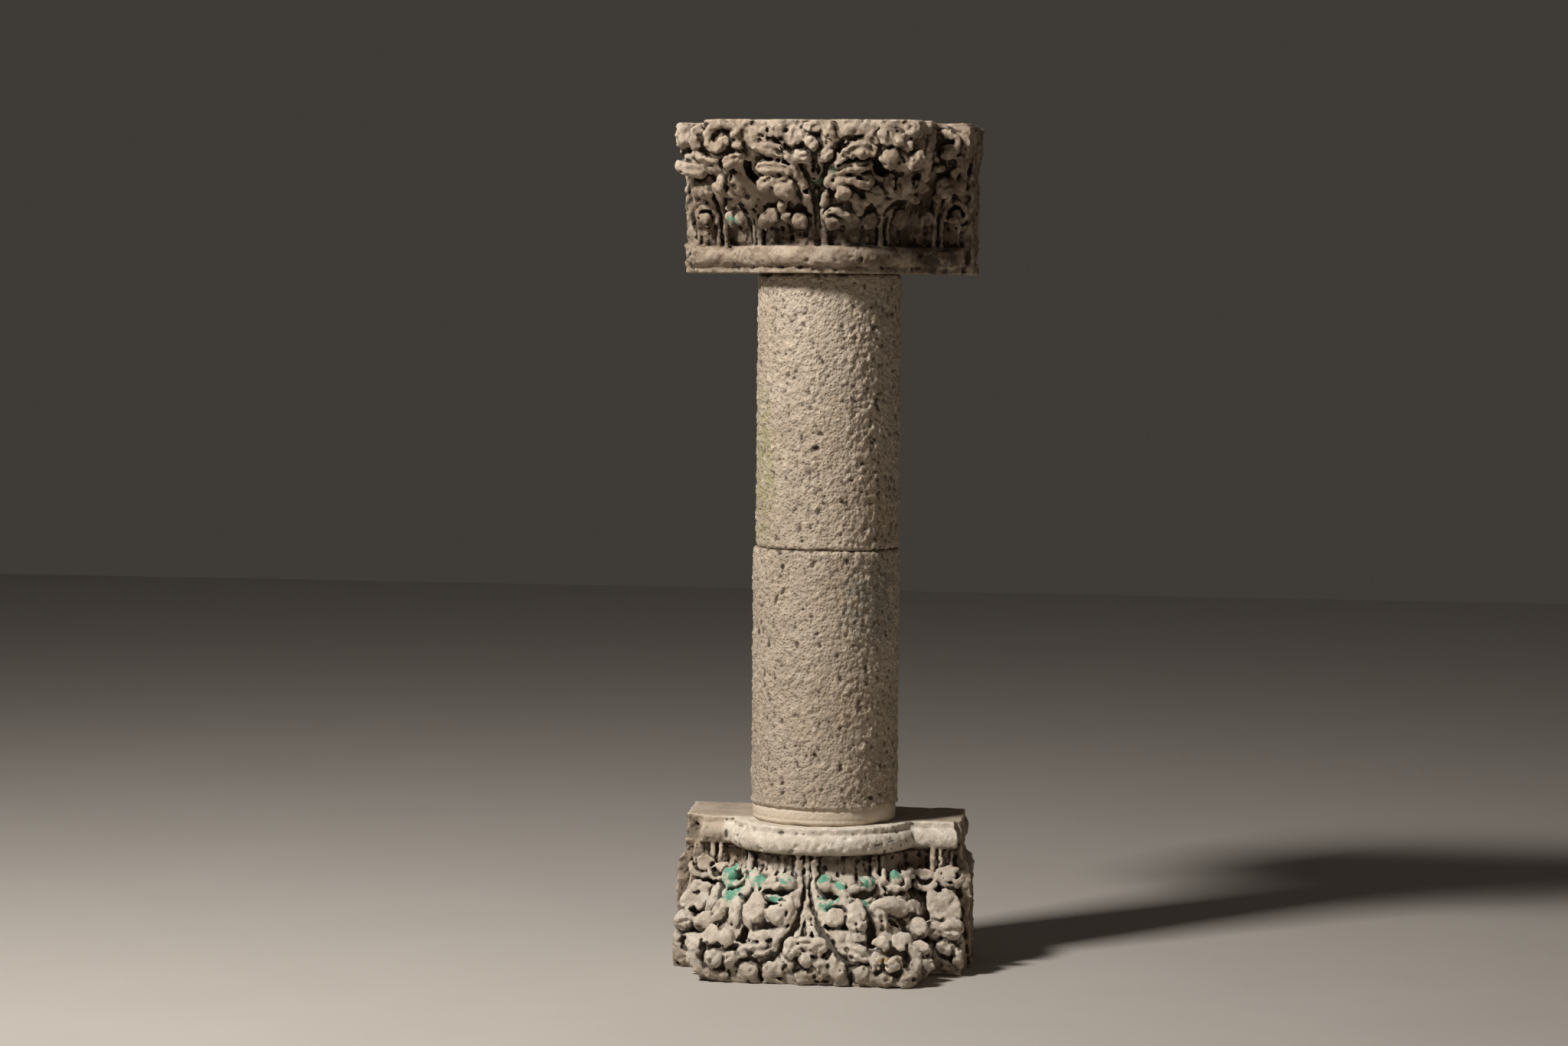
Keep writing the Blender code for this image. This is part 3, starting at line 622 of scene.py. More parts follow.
def upper_leaves(stone):
    """Leaves of the upper capital: two tiers of curls, the middle leaves and the side leaves."""
    upper_voids(stone)
    for side in (-1, 1):
        middle_leaf(stone, side, 2.5, 0, 1)
        side_trunk(stone, side)
        wing_trunk(stone, side, 199 if side > 0 else 188)
    stem(stone, 2, 0, 10)

    hooded(stone, (-29, 178, 92), (14, 14, 15.5),
           [(-42, 180, 111, 2.8), (-33, 183, 116, 3.8), (-21, 181, 115, 4), (-12, 175, 104, 3)])
    stone.ball((-52, 172, 99), (11, 12, 12))
    tongue(stone, [(-76, 170, 106, 10), (-85, 164, 99, 12), (-91, 158, 90, 11.5), (-95, 155, 82, 7.5)], 0)
    stone.ball((-74, 170, 100), (10, 10, 10))
    slot(stone, [(-97, 158, 112, 2.8), (-90, 164, 119, 3.8), (-79, 168, 119, 3.8), (-69, 170, 111, 2.8)], 10)
    stone.rope([(-58, 176, 106, 6), (-60, 180, 116, 7.5), (-56, 184, 126, 8)])
    stone.ball((-141, 108, 94), (12.5, 14, 17))
    slot(stone, [(-154, 106, 110, 4.4), (-147, 114, 121, 5.4), (-133, 128, 126, 5.8), (-121, 138, 116, 5),
                 (-115, 142, 98, 4.2)], 13)
    stone.rope([(-166, 96, 116, 7), (-152, 116, 131, 8), (-132, 136, 137, 9), (-116, 146, 128, 8.6)])
    stone.ball((-168, 66, 97), (13, 14, 17))
    curl(stone, (-217, 42, 95), 11, 1, 1.25)

    hooded(stone, (31, 180, 88), (13.8, 14, 14.5),
           [(19, 182, 107, 3), (28, 187, 116, 4.2), (42, 185, 117, 4), (51, 181, 112, 3)],
           [(18, 181, 98, 5), (24, 187, 107, 6.2), (36, 189, 110, 7.2), (48, 184, 105, 7.6),
            (58, 177, 98, 8.4)])
    hooded(stone, (93, 155, 94), (13, 14, 16),
           [(81, 168, 110, 3), (88, 169, 119, 4.2), (99, 164, 119, 4.2), (107, 155, 110, 3.2)])
    stone.rope([(66, 184, 136, 11), (74, 179, 124, 11), (75, 173, 112, 9)])
    stone.rope([(98, 176, 132, 10), (88, 178, 126, 9), (80, 174, 118, 7)])
    hooded(stone, (143, 112, 96), (17, 16, 19),
           [(124, 138, 106, 4.8), (133, 134, 121, 5.4), (149, 122, 128, 5.8), (164, 104, 120, 5)])
    stone.rope([(108, 146, 112, 7), (122, 142, 132, 8), (146, 128, 141, 9), (168, 106, 134, 8.4)])
    slot(stone, [(164, 88, 104, 6), (165, 84, 82, 8), (165, 78, 64, 7)], 14)
    hooded(stone, (183, 64, 96), (13.5, 14, 15),
           [(176, 84, 119, 4.6), (188, 80, 121, 5.2), (198, 70, 110, 4.8)])
    curl(stone, (234, 45, 101), 11, -1, 1.45)

    tongue(stone, [(-34, 208, 178, 9), (-46, 214, 182, 11), (-64, 217, 185, 12.5), (-84, 215, 185, 12),
                   (-95, 210, 184, 8)])
    tongue(stone, [(-36, 220, 198, 9.5), (-48, 225, 206, 10.5), (-64, 228, 213, 12), (-84, 228, 218, 11),
                   (-104, 225, 221, 6.5)], 0.36)
    slot(stone, [(-42, 226, 190, 3.6), (-56, 232, 197, 4.2), (-76, 233, 199, 4), (-96, 226, 197, 3.4)], 16)
    tongue(stone, [(-58, 206, 170, 10), (-74, 206, 166, 12), (-88, 200, 157, 13.5)])
    hooded(stone, (-50, 203, 147), (22, 18, 20),
           [(-66, 208, 170, 4.2), (-50, 213, 177, 5), (-34, 211, 173, 5.4), (-21, 204, 160, 5.2),
            (-15, 196, 142, 4.2)],
           [(-72, 204, 156, 5), (-63, 213, 163, 5.6), (-50, 217, 165, 6), (-38, 214, 159, 5.4)])
    slot(stone, [(-27, 200, 140, 4.6), (-24, 194, 130, 4)], 12)

    tongue(stone, [(32, 204, 172, 9), (45, 212, 180, 11), (63, 216, 186, 12.5), (81, 215, 188, 12.5),
                   (94, 211, 191, 8.5)], 0.34)
    tongue(stone, [(42, 220, 190, 9.5), (56, 227, 203, 10.5), (74, 232, 214, 13), (92, 232, 217, 14),
                   (106, 229, 212, 9)], 0.55)
    slot(stone, [(44, 226, 188, 3.8), (57, 233, 196, 4.2), (78, 236, 200, 3.8), (100, 228, 200, 3.4)], 16)
    tongue(stone, [(62, 204, 170, 10), (78, 205, 168, 12), (93, 200, 163, 12)])
    hooded(stone, (53, 207, 142), (14.5, 15, 14.5),
           [(27, 200, 149, 4.6), (35, 207, 163, 5.4), (52, 212, 173, 5.4), (70, 211, 170, 5),
            (84, 206, 160, 4.2)],
           [(36, 205, 150, 6), (45, 212, 160, 7.6), (62, 214, 163, 8), (79, 210, 157, 6.8),
            (96, 203, 150, 4.8)])
    slot(stone, [(72, 204, 148, 4), (84, 200, 142, 4.4)], 12)
    slot(stone, [(30, 196, 150, 4), (31, 192, 138, 4)], 10)
    lobe(stone, (102, 182, 141), (15, 13, 12), -12)

    tongue(stone, [(-168, 126, 144, 8), (-178, 134, 150, 12), (-185, 134, 144, 13), (-187, 130, 136, 8)], 0)
    stone.ball((-172, 130, 163), (13, 14, 14))
    tongue(stone, [(-134, 146, 144, 9), (-141, 154, 154, 13), (-143, 157, 165, 14), (-143, 157, 175, 9)])
    stone.rope([(-180, 124, 143, 8), (-156, 132, 140, 10), (-136, 140, 133, 10), (-118, 147, 121, 9)])
    slot(stone, [(-158, 152, 168, 3.4), (-157, 150, 154, 3.2)], 12)
    lobe(stone, (-216, 66, 152), (16, 13, 18), 10)

    tongue(stone, [(136, 148, 143, 9), (129, 160, 151, 13), (126, 166, 161, 14), (126, 166, 171, 9)])
    tongue(stone, [(150, 136, 149, 10), (157, 139, 160, 14.5), (158, 140, 173, 11)])
    tongue(stone, [(168, 124, 150, 8), (178, 124, 162, 9.5), (182, 122, 173, 7)], 0.3)
    stone.ball((181, 112, 152), (12, 14, 12))
    slot(stone, [(141, 168, 150, 3), (143, 166, 168, 3.6)], 12)
    slot(stone, [(169, 142, 156, 2.6), (172, 138, 170, 3)], 10)
    lobe(stone, (217, 70, 155), (15, 13, 15))
    lobe(stone, (241, 66, 159), (12, 12, 15))
    stone.scoop((207, 84, 140), (5, 9, 4))

    stone.pad((-100, 221, 243), (21, 15, 18))
    stone.pad((-60, 222, 250), (19, 15, 17), 10)
    stone.pad((60, 221, 250), (19, 15, 16))
    stone.pad((92, 218, 250), (19, 15, 15), -10)
    slot(stone, [(-92, 234, 240, 3), (-66, 238, 230, 3.8), (-46, 238, 217, 4), (-31, 232, 205, 3.6)], 14)
    slot(stone, [(92, 236, 239, 3.2), (68, 240, 231, 4), (47, 236, 211, 4.6), (30, 224, 193, 4)], 14)
    slot(stone, [(-80, 236, 262, 2), (-79, 234, 246, 2.4)], 8)
    slot(stone, [(16, 240, 264, 2), (15, 238, 244, 2.4)], 8)
    slot(stone, [(40, 238, 262, 2), (42, 236, 246, 2.2)], 8)


def upper_losses(stone):
    """The broken and pitted front edge of the abacus, and the worn corners."""
    stone.scoop((-88, 252, 279), (44, 26, 22), -3, 5)
    stone.scoop((-30, 254, 280), (30, 22, 21), 6, 5)
    stone.scoop((52, 254, 280), (40, 24, 23), 4, 5)
    stone.scoop((110, 256, 276), (26, 26, 20), -8, 5)
    stone.scoop((-150, 262, 279), (30, 26, 18), 8, 5)
    stone.scoop((204, 250, 274), (20, 30, 16), -20, 5)
    stone.scoop((272, 96, 278), (22, 34, 22), -35, 6)
    stone.scoop((-272, 100, 276), (16, 26, 16), 35, 6)
    for x, h, size in ((-104, 246, 5), (-74, 252, 6), (-46, 243, 4), (70, 247, 5), (98, 243, 6),
                       (171, 251, 7), (-18, 252, 4), (184, 240, 5), (-195, 249, 6)):
        stone.scoop((x, 240, h), (size * 1.5, size, size), x * 0.2, 3)
    stone.scoop((200, 42, 24), (22, 9, 14), 14, 6)
    stone.scoop((176, 70, 34), (12, 8, 8), 30, 5)


def lower_voids(stone):
    """The deep shadows between the leaves and the flowers of the turned-over capital."""
    slot(stone, [(-118, 196, 200, 9), (-114, 198, 184, 8), (-112, 196, 172, 7)], 16)
    slot(stone, [(116, 206, 196, 9), (112, 202, 180, 9), (112, 196, 168, 8)], 18)
    slot(stone, [(-206, 118, 190, 8), (-206, 96, 172, 8)], 14)
    slot(stone, [(204, 112, 190, 9), (202, 96, 170, 9), (198, 82, 150, 9)], 14)
    slot(stone, [(180, 66, 62, 7), (176, 70, 84, 8), (180, 76, 110, 8)], 12)
    slot(stone, [(-170, 74, 66, 6), (-176, 70, 84, 7), (-182, 74, 110, 7)], 12)


def lower_leaves(stone):
    """Leaves of the turned-over capital; here the first curls hang together on arms."""
    lower_voids(stone)
    for side in (-1, 1):
        middle_leaf(stone, side, 1.0 if side > 0 else 0, -9, 1.32)
        wing_trunk(stone, side, 209 if side > 0 else 190)
    stem(stone, -1, -6, 17)

    stone.ball((-42, 177, 94), (15.5, 15, 16))
    stone.ball((-68, 170, 98), (12, 12, 13))
    tongue(stone, [(-106, 146, 82, 7), (-100, 152, 90, 10), (-92, 158, 100, 12), (-78, 166, 107, 10)], 0)
    stone.rope([(-49, 178, 99, 8), (-66, 174, 104, 8), (-80, 168, 107, 9), (-88, 170, 116, 10)])
    stone.rope([(-25, 178, 114, 7), (-39, 188, 123, 7.8), (-60, 186, 124, 7.8), (-79, 174, 121, 7),
                (-96, 160, 114, 6.4)])
    slot(stone, [(-98, 172, 113, 3.4), (-85, 180, 114, 4), (-72, 186, 112, 3.4)], 10)
    slot(stone, [(-58, 194, 113, 3.6), (-44, 197, 112, 4), (-30, 193, 108, 3.2)], 10)
    stone.ball((29, 180, 94), (15, 15, 15))
    stone.ball((55, 174, 99), (11.5, 12, 12))
    stone.ball((98, 152, 97), (15, 15, 16))
    stone.rope([(38, 181, 101, 7.4), (56, 177, 106, 9), (74, 169, 107, 9), (93, 160, 103, 8)])
    tongue(stone, [(52, 178, 106, 9), (62, 184, 118, 11), (70, 188, 130, 11)], 0)
    stone.rope([(16, 182, 126, 7.2), (32, 191, 131, 8), (49, 190, 131, 8.2), (64, 182, 127, 7.8),
                (85, 173, 130, 8.2), (104, 158, 128, 8), (115, 139, 118, 7)])
    slot(stone, [(24, 197, 113, 3.8), (40, 197, 113, 3.8), (52, 193, 116, 3)], 11)
    slot(stone, [(80, 183, 116, 3.8), (94, 178, 118, 4.2), (106, 169, 116, 3.4)], 11)
    for x, v, h in ((-58, 182, 86), (-82, 170, 88), (43, 184, 88), (70, 176, 91), (84, 168, 90)):
        stone.scoop((x, v, h), (3.8, 9, 6))

    stone.rope([(-118, 102, 50, 5.6), (-116, 116, 78, 6.2), (-111, 141, 102, 7.8), (-118, 149, 118, 11.6),
                (-136, 142, 128, 13), (-158, 114, 130, 11)])
    stone.ball((-150, 104, 93), (13, 15, 16))
    stone.rope([(-140, 116, 79, 6.8), (-152, 106, 75, 7.6), (-164, 92, 84, 8), (-166, 92, 100, 8.2),
                (-155, 110, 111, 8), (-139, 127, 108, 7.2), (-127, 132, 96, 5.6), (-123, 130, 82, 4)])
    slot(stone, [(-129, 142, 84, 3.4), (-134, 140, 94, 3.6), (-144, 130, 100, 3)], 9)
    slot(stone, [(-170, 96, 114, 3.4), (-156, 118, 119, 4.2), (-140, 136, 117, 4), (-126, 146, 106, 3.2)],
         10)
    stone.rope([(107, 113, 50, 6.2), (110, 119, 83, 7.2), (115, 133, 110, 9.6), (131, 138, 129, 12),
                (149, 127, 132, 11), (162, 101, 126, 8.6)])
    stone.ball((145, 110, 92), (11, 13, 13))
    stone.rope([(124, 115, 78, 5.2), (126, 124, 97, 6.2), (139, 122, 109, 8), (152, 111, 112, 9),
                (163, 97, 103, 9), (162, 96, 86, 8.2), (154, 100, 76, 6.2)])
    slot(stone, [(133, 138, 88, 3.4), (139, 137, 99, 3.4), (152, 128, 100, 3)], 9)
    slot(stone, [(132, 140, 118, 3.2), (148, 128, 121, 4), (162, 110, 116, 3.4)], 9)
    stone.rope([(118, 101, 50, 3.8), (120, 108, 84, 4.2), (124, 120, 104, 4.8)])

    curl(stone, (-213, 52, 80), 15, -1, 1.1)
    curl(stone, (-181, 62, 86), 13, 1, 1.1)
    curl(stone, (193, 62, 88), 14, 1, 1.2)
    curl(stone, (238, 52, 86), 14.5, -1, 1.1)
    stone.ball((168, 72, 87), (12, 12, 12))

    slot(stone, [(-86, 212, 164, 4), (-72, 218, 172, 4.8), (-54, 220, 174, 5.2), (-36, 212, 166, 4.6)], 14)
    stone.ball((-57, 208, 150), (19.5, 17, 19))
    stone.rope([(-34, 192, 124, 5), (-30, 202, 138, 5.6), (-34, 209, 152, 5.6), (-44, 212, 166, 5)])
    stone.rope([(-54, 196, 126, 4.6), (-42, 204, 130, 5), (-32, 205, 140, 4.6)])
    tongue(stone, [(-92, 186, 126, 12), (-94, 195, 138, 18), (-95, 199, 152, 20), (-94, 200, 166, 14)], 0.2)
    slot(stone, [(34, 214, 164, 4.6), (50, 222, 172, 5.4), (68, 218, 172, 4.8)], 14)
    stone.ball((51, 211, 150), (18.5, 17, 17.5))
    tongue(stone, [(84, 190, 130, 12), (88, 203, 144, 16), (88, 207, 158, 17), (90, 206, 172, 11)], 0.22)

    tongue(stone, [(-140, 146, 134, 10), (-155, 148, 144, 14), (-165, 144, 157, 14), (-176, 138, 170, 8)],
           0.36)
    tongue(stone, [(-134, 158, 134, 11), (-129, 166, 148, 16), (-129, 172, 162, 16), (-134, 178, 176, 10),
                   (-138, 182, 186, 5)], 0.30)
    slot(stone, [(-148, 160, 158, 3), (-150, 164, 172, 3.6)], 12)
    tongue(stone, [(118, 158, 138, 10), (122, 168, 150, 14), (126, 172, 162, 13), (130, 172, 176, 7)], 0.30)
    stone.rope([(112, 170, 140, 11), (130, 162, 134, 14), (150, 148, 137, 16), (166, 134, 148, 15),
                (172, 128, 164, 11)])
    slot(stone, [(142, 170, 156, 3.4), (150, 164, 164, 4.2), (160, 154, 172, 3.6)], 12)
    stone.pad((186, 128, 138), (17, 17, 16), 12)
    stone.rope([(180, 124, 150, 10), (178, 130, 164, 11), (174, 140, 176, 10)])
    slot(stone, [(174, 146, 150, 3), (170, 150, 166, 3.4)], 12)
    tongue(stone, [(-222, 66, 122, 10), (-230, 74, 134, 12), (-236, 78, 148, 13), (-238, 78, 158, 8)], 0.3)
    tongue(stone, [(-206, 70, 124, 10), (-209, 78, 138, 13), (-212, 80, 152, 11)], 0.3)
    tongue(stone, [(-178, 92, 126, 12), (-184, 96, 140, 17), (-186, 98, 154, 15)], 0.22)
    tongue(stone, [(208, 72, 130, 12), (215, 78, 144, 14), (218, 80, 160, 12)], 0.3)
    tongue(stone, [(232, 74, 128, 14), (240, 80, 142, 18), (244, 80, 158, 15)], 0.25)
    for x, v, h, turn in ((-222, 88, 140, 0), (-198, 92, 140, 0), (229, 92, 146, 0), (108, 200, 158, -10),
                          (-114, 188, 152, 10)):
        stone.scoop((x, v, h), (3.4, 12, 13), turn)

    tongue(stone, [(-46, 208, 178, 10), (-62, 214, 184, 11), (-80, 216, 188, 13), (-94, 212, 190, 10)], 0)
    slot(stone, [(-86, 226, 197, 3), (-74, 229, 197, 4.4), (-60, 227, 192, 3.2)], 9)
    tongue(stone, [(-54, 218, 200, 9), (-70, 224, 206, 11), (-90, 227, 210, 13), (-109, 226, 213, 12)], 0.45)
    slot(stone, [(-122, 232, 227, 3.2), (-106, 238, 229, 3.8), (-92, 240, 229, 4), (-84, 240, 238, 3.6)], 10)
    stone.pad((-101, 229, 245), (22, 16, 17), 8)
    stone.pad((-58, 228, 246), (23, 16, 19), -14)
    stone.ball((-34, 222, 236), (18, 13, 18))
    slot(stone, [(-80, 242, 240, 3.4), (-79, 240, 252, 3.4), (-78, 236, 264, 3)], 12)
    tongue(stone, [(48, 210, 178, 10), (64, 216, 184, 11), (82, 216, 187, 13), (96, 212, 186, 11)], 0)
    slot(stone, [(58, 226, 194, 3.4), (72, 230, 199, 4), (88, 228, 198, 3)], 10)
    tongue(stone, [(58, 218, 198, 9), (74, 225, 204, 12), (94, 227, 209, 14), (110, 224, 215, 11)], 0.40)
    slot(stone, [(118, 236, 229, 3), (102, 241, 230, 3.8), (88, 242, 232, 4), (80, 242, 228, 3.2)], 10)
    stone.pad((105, 229, 247), (21, 16, 17), -5)
    tongue(stone, [(42, 218, 214, 10), (50, 226, 226, 13), (60, 229, 242, 16), (64, 229, 256, 13)], 0)
    slot(stone, [(84, 243, 246, 3.2), (82, 242, 256, 3.6), (82, 238, 266, 3)], 12)


def lower_flowers(stone):
    """Fleuron, the corner rosettes and the rosettes on the wings of the turned-over capital."""
    stone.ball((1, 216, 222), (34, 14, 34))
    stone.ball((2, 238, 224), (13, 13, 13))
    ring(stone, (3, 248, 224), 16.5, 3, 200, 340)
    lobe(stone, (-22, 234, 203), (14, 13, 16), 30)
    lobe(stone, (-1, 233, 191), (14, 12, 9))
    lobe(stone, (22, 234, 199), (15, 13, 14), -30)
    lobe(stone, (2, 231, 253), (17, 14, 13))
    lobe(stone, (28, 232, 240), (14, 14, 18), 12)
    stone.ball((-25, 227, 232), (12, 12, 14))
    stone.drill([(-12, 244, 210, 2.4), (-10, 240, 196, 2.4)])
    stone.drill([(11, 244, 208, 2.4), (12, 240, 194, 2.4)])

    stone.ball((-164, 211, 221), (35, 16, 35))
    stone.ball((-163, 237, 224), (17, 15, 17))
    ring(stone, (-163, 249, 223), 20.5, 3.4, 190, 395)
    stone.rope([(-150, 222, 190, 8), (-184, 222, 192, 10), (-197, 220, 208, 10), (-199, 222, 228, 10),
                (-188, 226, 245, 9.5), (-166, 230, 254, 9), (-142, 230, 252, 8)])
    stone.ball((-172, 230, 182), (19, 16, 21), -24)
    stone.ball((-141, 230, 189), (17, 15, 17), 18)
    lobe(stone, (-133, 229, 226), (12, 13, 14))
    stone.ball((-194, 216, 207), (12, 18, 23))
    stone.ball((-157, 222, 252), (25, 16, 13))
    stone.drill([(-158, 244, 196, 2.6), (-157, 240, 180, 2.8)])

    stone.ball((158, 211, 226), (37, 15, 35))
    stone.ball((158, 238, 225), (17, 15, 16.5))
    ring(stone, (158, 250, 224), 20.5, 3.4, 170, 370)
    stone.rope([(150, 222, 190, 8), (182, 222, 196, 9), (194, 220, 212, 10), (195, 222, 230, 10),
                (184, 226, 247, 9.5), (164, 230, 256, 9), (144, 231, 254, 9)])
    stone.ball((138, 231, 191), (17, 15, 15), 14)
    stone.pad((173, 228, 184), (20, 17, 17), -10)
    slot(stone, [(186, 240, 196, 3.4), (182, 238, 206, 3)], 12)
    slot(stone, [(192, 236, 220, 3), (186, 240, 236, 3)], 10)
    lobe(stone, (127, 229, 221), (11, 14, 17))
    lobe(stone, (146, 230, 253), (15, 15, 12))
    lobe(stone, (180, 224, 250), (17, 17, 14))
    stone.ball((190, 216, 222), (10, 20, 20))
    stone.drill([(154, 244, 196, 2.6), (155, 240, 180, 2.8)])
    stone.drill([(162, 240, 244, 2.6), (163, 238, 262, 3)])

    for side in (-1, 1):
        stone.ball((side * 199, 170, 206), (10, 20, 14))
        stone.ball((side * 200, 164, 237), (10, 24, 20))
        stone.ball((side * 192, 150, 174), (12, 20, 20))
        stone.drill([(side * 208, 170, 222, 3), (side * 206, 150, 220, 3.2), (side * 200, 130, 214, 3)])

    stone.ball((-231, 68, 218), (29, 16, 32))
    stone.ball((-228, 92, 216), (15, 15, 16))
    ring(stone, (-229, 105, 214), 18.5, 3.2, 180, 330)
    lobe(stone, (-240, 88, 182), (16, 16, 16), -12)
    lobe(stone, (-207, 95, 184), (14, 14, 13))
    stone.ball((-252, 78, 220), (10, 18, 24))
    lobe(stone, (-240, 79, 248), (18, 18, 13), -10)
    lobe(stone, (-213, 80, 244), (13, 14, 14))

    stone.ball((234, 70, 217), (33, 14, 35))
    stone.ball((234, 96, 216), (15.5, 15, 14.5))
    ring(stone, (235, 108, 214), 19.5, 3.4, 175, 365)
    lobe(stone, (212, 92, 186), (15, 15, 14))
    lobe(stone, (246, 91, 184), (18, 16, 17))
    stone.ball((257, 90, 234), (11, 16, 19))
    lobe(stone, (211, 83, 231), (13, 16, 21))
    lobe(stone, (233, 82, 248), (21, 14, 12))


def lower_losses(stone):
    """The stub of the wing astragal, and knocks to the corners that stand on the floor."""
    stone.chop((-248, 26, 22), (28, 40, 34), 6)
    stone.chop((-196, 66, 46), (30, 34, 12), -16)
    stone.scoop((-173, 58, 26), (7, 26, 28), 0, 3)
    stone.scoop((-211, 50, 24), (8, 13, 15), 14, 4)
    for x, v, h, size in ((-196, 246, 266, 12), (60, 250, 272, 13), (-20, 250, 270, 10), (196, 236, 270, 13),
                          (262, 100, 266, 12), (-264, 92, 268, 12), (118, 250, 268, 9)):
        stone.scoop((x, v, h), (size * 1.5, size * 0.8, size), x * 0.1, 4)
    stone.scoop((128, 128, 34), (7, 6, 5), 0, 3)
    stone.scoop((-60, 176, 30), (6, 5, 4), 0, 3)


def sawn(axes, seed):
    """How far a flat bed or back lies under its true plane: worn and tooled, and flat in the large."""
    worn = lattice_noise(axes, (26, 26), seed) * 0.35 + lattice_noise(axes, (7, 7), seed + 1) * 0.35
    return np.clip(worn + 0.35, 0.0, 2.0)


def weather(stone, seed):
    """Worn skin on the carving, and a pick-dressed skin on the slab, then the flat beds cut true."""
    x, v, h = stone.axes
    coarse, medium, fine = [lattice_noise(stone.axes, (size,) * 3, seed + k)
                            for k, size in enumerate(WEAR_SIZES)]
    pick = lattice_noise(stone.axes, PICK_SIZES, seed + 3)
    slab = (ease((6.0 - v[None, :, None]) / 14.0)).astype(np.float32)
    carved = 1.0 - slab
    neck = (1.0 - ease((h[None, None, :] - NECK_TOP) / 10.0)).astype(np.float32)
    gentle = 1.0 - 0.55 * neck
    rough = (1.0 + 0.5 * ease((h[None, None, :] - 170.0) / 60.0)).astype(np.float32)
    stone.skin += coarse * COARSE_WEAR * gentle * carved
    stone.skin += medium * (MEDIUM_WEAR * gentle * rough * carved + 1.2 * slab)
    stone.skin += fine * (FINE_WEAR * rough * carved + 0.85 * slab)
    stone.skin += np.abs(pick) * PICK_DEPTH * slab - 0.6 * slab
    crease = np.maximum(1.0 - np.abs(pick) / 0.22, 0.0) * np.maximum(carved, 0.0) * gentle
    stone.skin += crease * CREASE_DEPTH
    stone.skin += np.maximum(fine + 0.5 * medium - 1.55, 0.0) * PIT_DEPTH
    bed = sawn((x, v), seed + 4)
    abacus = sawn((x, v), seed + 6)
    back = sawn((x, h), seed + 8) * BACK_ROUGHNESS
    stone.skin = np.maximum(stone.skin, bed[:, :, None] - h[None, None, :])
    stone.skin = np.maximum(stone.skin, h[None, None, :] - HEIGHT + abacus[:, :, None])
    stone.skin = np.maximum(stone.skin, back[:, None, :] - SLAB_DEPTH - v[None, :, None])


def blur(solid, reach):
    """Each point's share of solid within a box round it."""
    for axis in range(3):
        run = np.cumsum(solid, axis=axis, dtype=np.float32)
        size = solid.shape[axis]
        high = np.minimum(np.arange(size) + reach, size - 1)
        low = np.arange(size) - reach - 1
        total = np.take(run, high, axis=axis)
        below = np.take(run, np.maximum(low, 0), axis=axis)
        shape = [1, 1, 1]
        shape[axis] = size
        below = below * (low >= 0).reshape(shape)
        solid = (total - below) / (2 * reach + 1)
    return solid


def read_grid(grid, axes, places):
    """The grid's values at places, between its points."""
    inside = []
    for k, axis in enumerate(axes):
        inside.append(np.clip((places[:, k] - axis[0]) / (axis[1] - axis[0]), 0, len(axis) - 1.001))
    inside = np.array(inside)
    cell = inside.astype(int)
    t = inside - cell
    made = np.zeros(len(places))
    for a in (0, 1):
        for b in (0, 1):
            for c in (0, 1):
                weight = np.abs(1 - a - t[0]) * np.abs(1 - b - t[1]) * np.abs(1 - c - t[2])
                made += weight * grid[cell[0] + a, cell[1] + b, cell[2] + c]
    return made


def spots(places, marks):
    """How strongly places lie in any of the round marks (x, v, h, radius)."""
    made = np.zeros(len(places))
    for x, v, h, radius in marks:
        far = np.sqrt((places[:, 0] - x) ** 2 + (places[:, 1] - v) ** 2 + (places[:, 2] - h) ** 2) / radius
        made = np.maximum(made, 1.0 - ease((far - 0.55) / 0.9))
    return made


def set_layer(mesh, name, values):
    """Keeps a value at each point of the mesh, for the materials to read."""
    layer = mesh.attributes.new(name, "FLOAT", "POINT")
    layer.data.foreach_set("value", np.asarray(values, dtype=np.float32))


def point_values(mesh, normals=False):
    """The places of the mesh's points, or their normals, as rows."""
    values = np.zeros(len(mesh.vertices) * 3)
    if normals:
        mesh.vertex_normals.foreach_get("vector", values)
    else:
        mesh.vertices.foreach_get("co", values)
    return values.reshape(-1, 3)


def mesh_from(name, verts, faces):
    """A mesh of points and faces."""
    mesh = bpy.data.meshes.new(name)
    mesh.from_pydata(verts, [], faces)
    mesh.validate()
    mesh.update()
    return mesh


def show(name, mesh):
    """An object in the scene with a mesh."""
    obj = bpy.data.objects.new(name, mesh)
    bpy.context.scene.collection.objects.link(obj)
    return obj


def face_outwards(mesh):
    """Turns all faces over if they look inwards."""
    bm = bmesh.new()
    bm.from_mesh(mesh)
    if bm.calc_volume(signed=True) < 0.0:
        bmesh.ops.reverse_faces(bm, faces=bm.faces)
    bm.to_mesh(mesh)
    bm.free()


def thin_out(obj, faces):
    """Thins the object's mesh out to about a number of triangles."""
    count = sum(len(face.vertices) - 2 for face in obj.data.polygons)
    if count > faces:
        thin = obj.modifiers.new("thin", "DECIMATE")
        thin.ratio = faces / count
        graph = bpy.context.evaluated_depsgraph_get()
        mesh = bpy.data.meshes.new_from_object(obj.evaluated_get(graph))
        obj.modifiers.clear()
        obj.data = mesh


def skinned(stone, name):
    """The stone's skin as a mesh, still in millimetres of the stone's own frame."""
    volume = openvdb.FloatGrid(background=8.0)
    volume.copyFromArray(np.clip(stone.skin, -8.0, 8.0).astype(np.float32))
    points, triangles, quads = volume.convertToPolygons(isovalue=0.0, adaptivity=0.02)
    points = points * stone.step + np.array([axis[0] for axis in stone.axes])
    faces = triangles.tolist() + quads.tolist()
    return mesh_from(name, points.tolist(), faces)


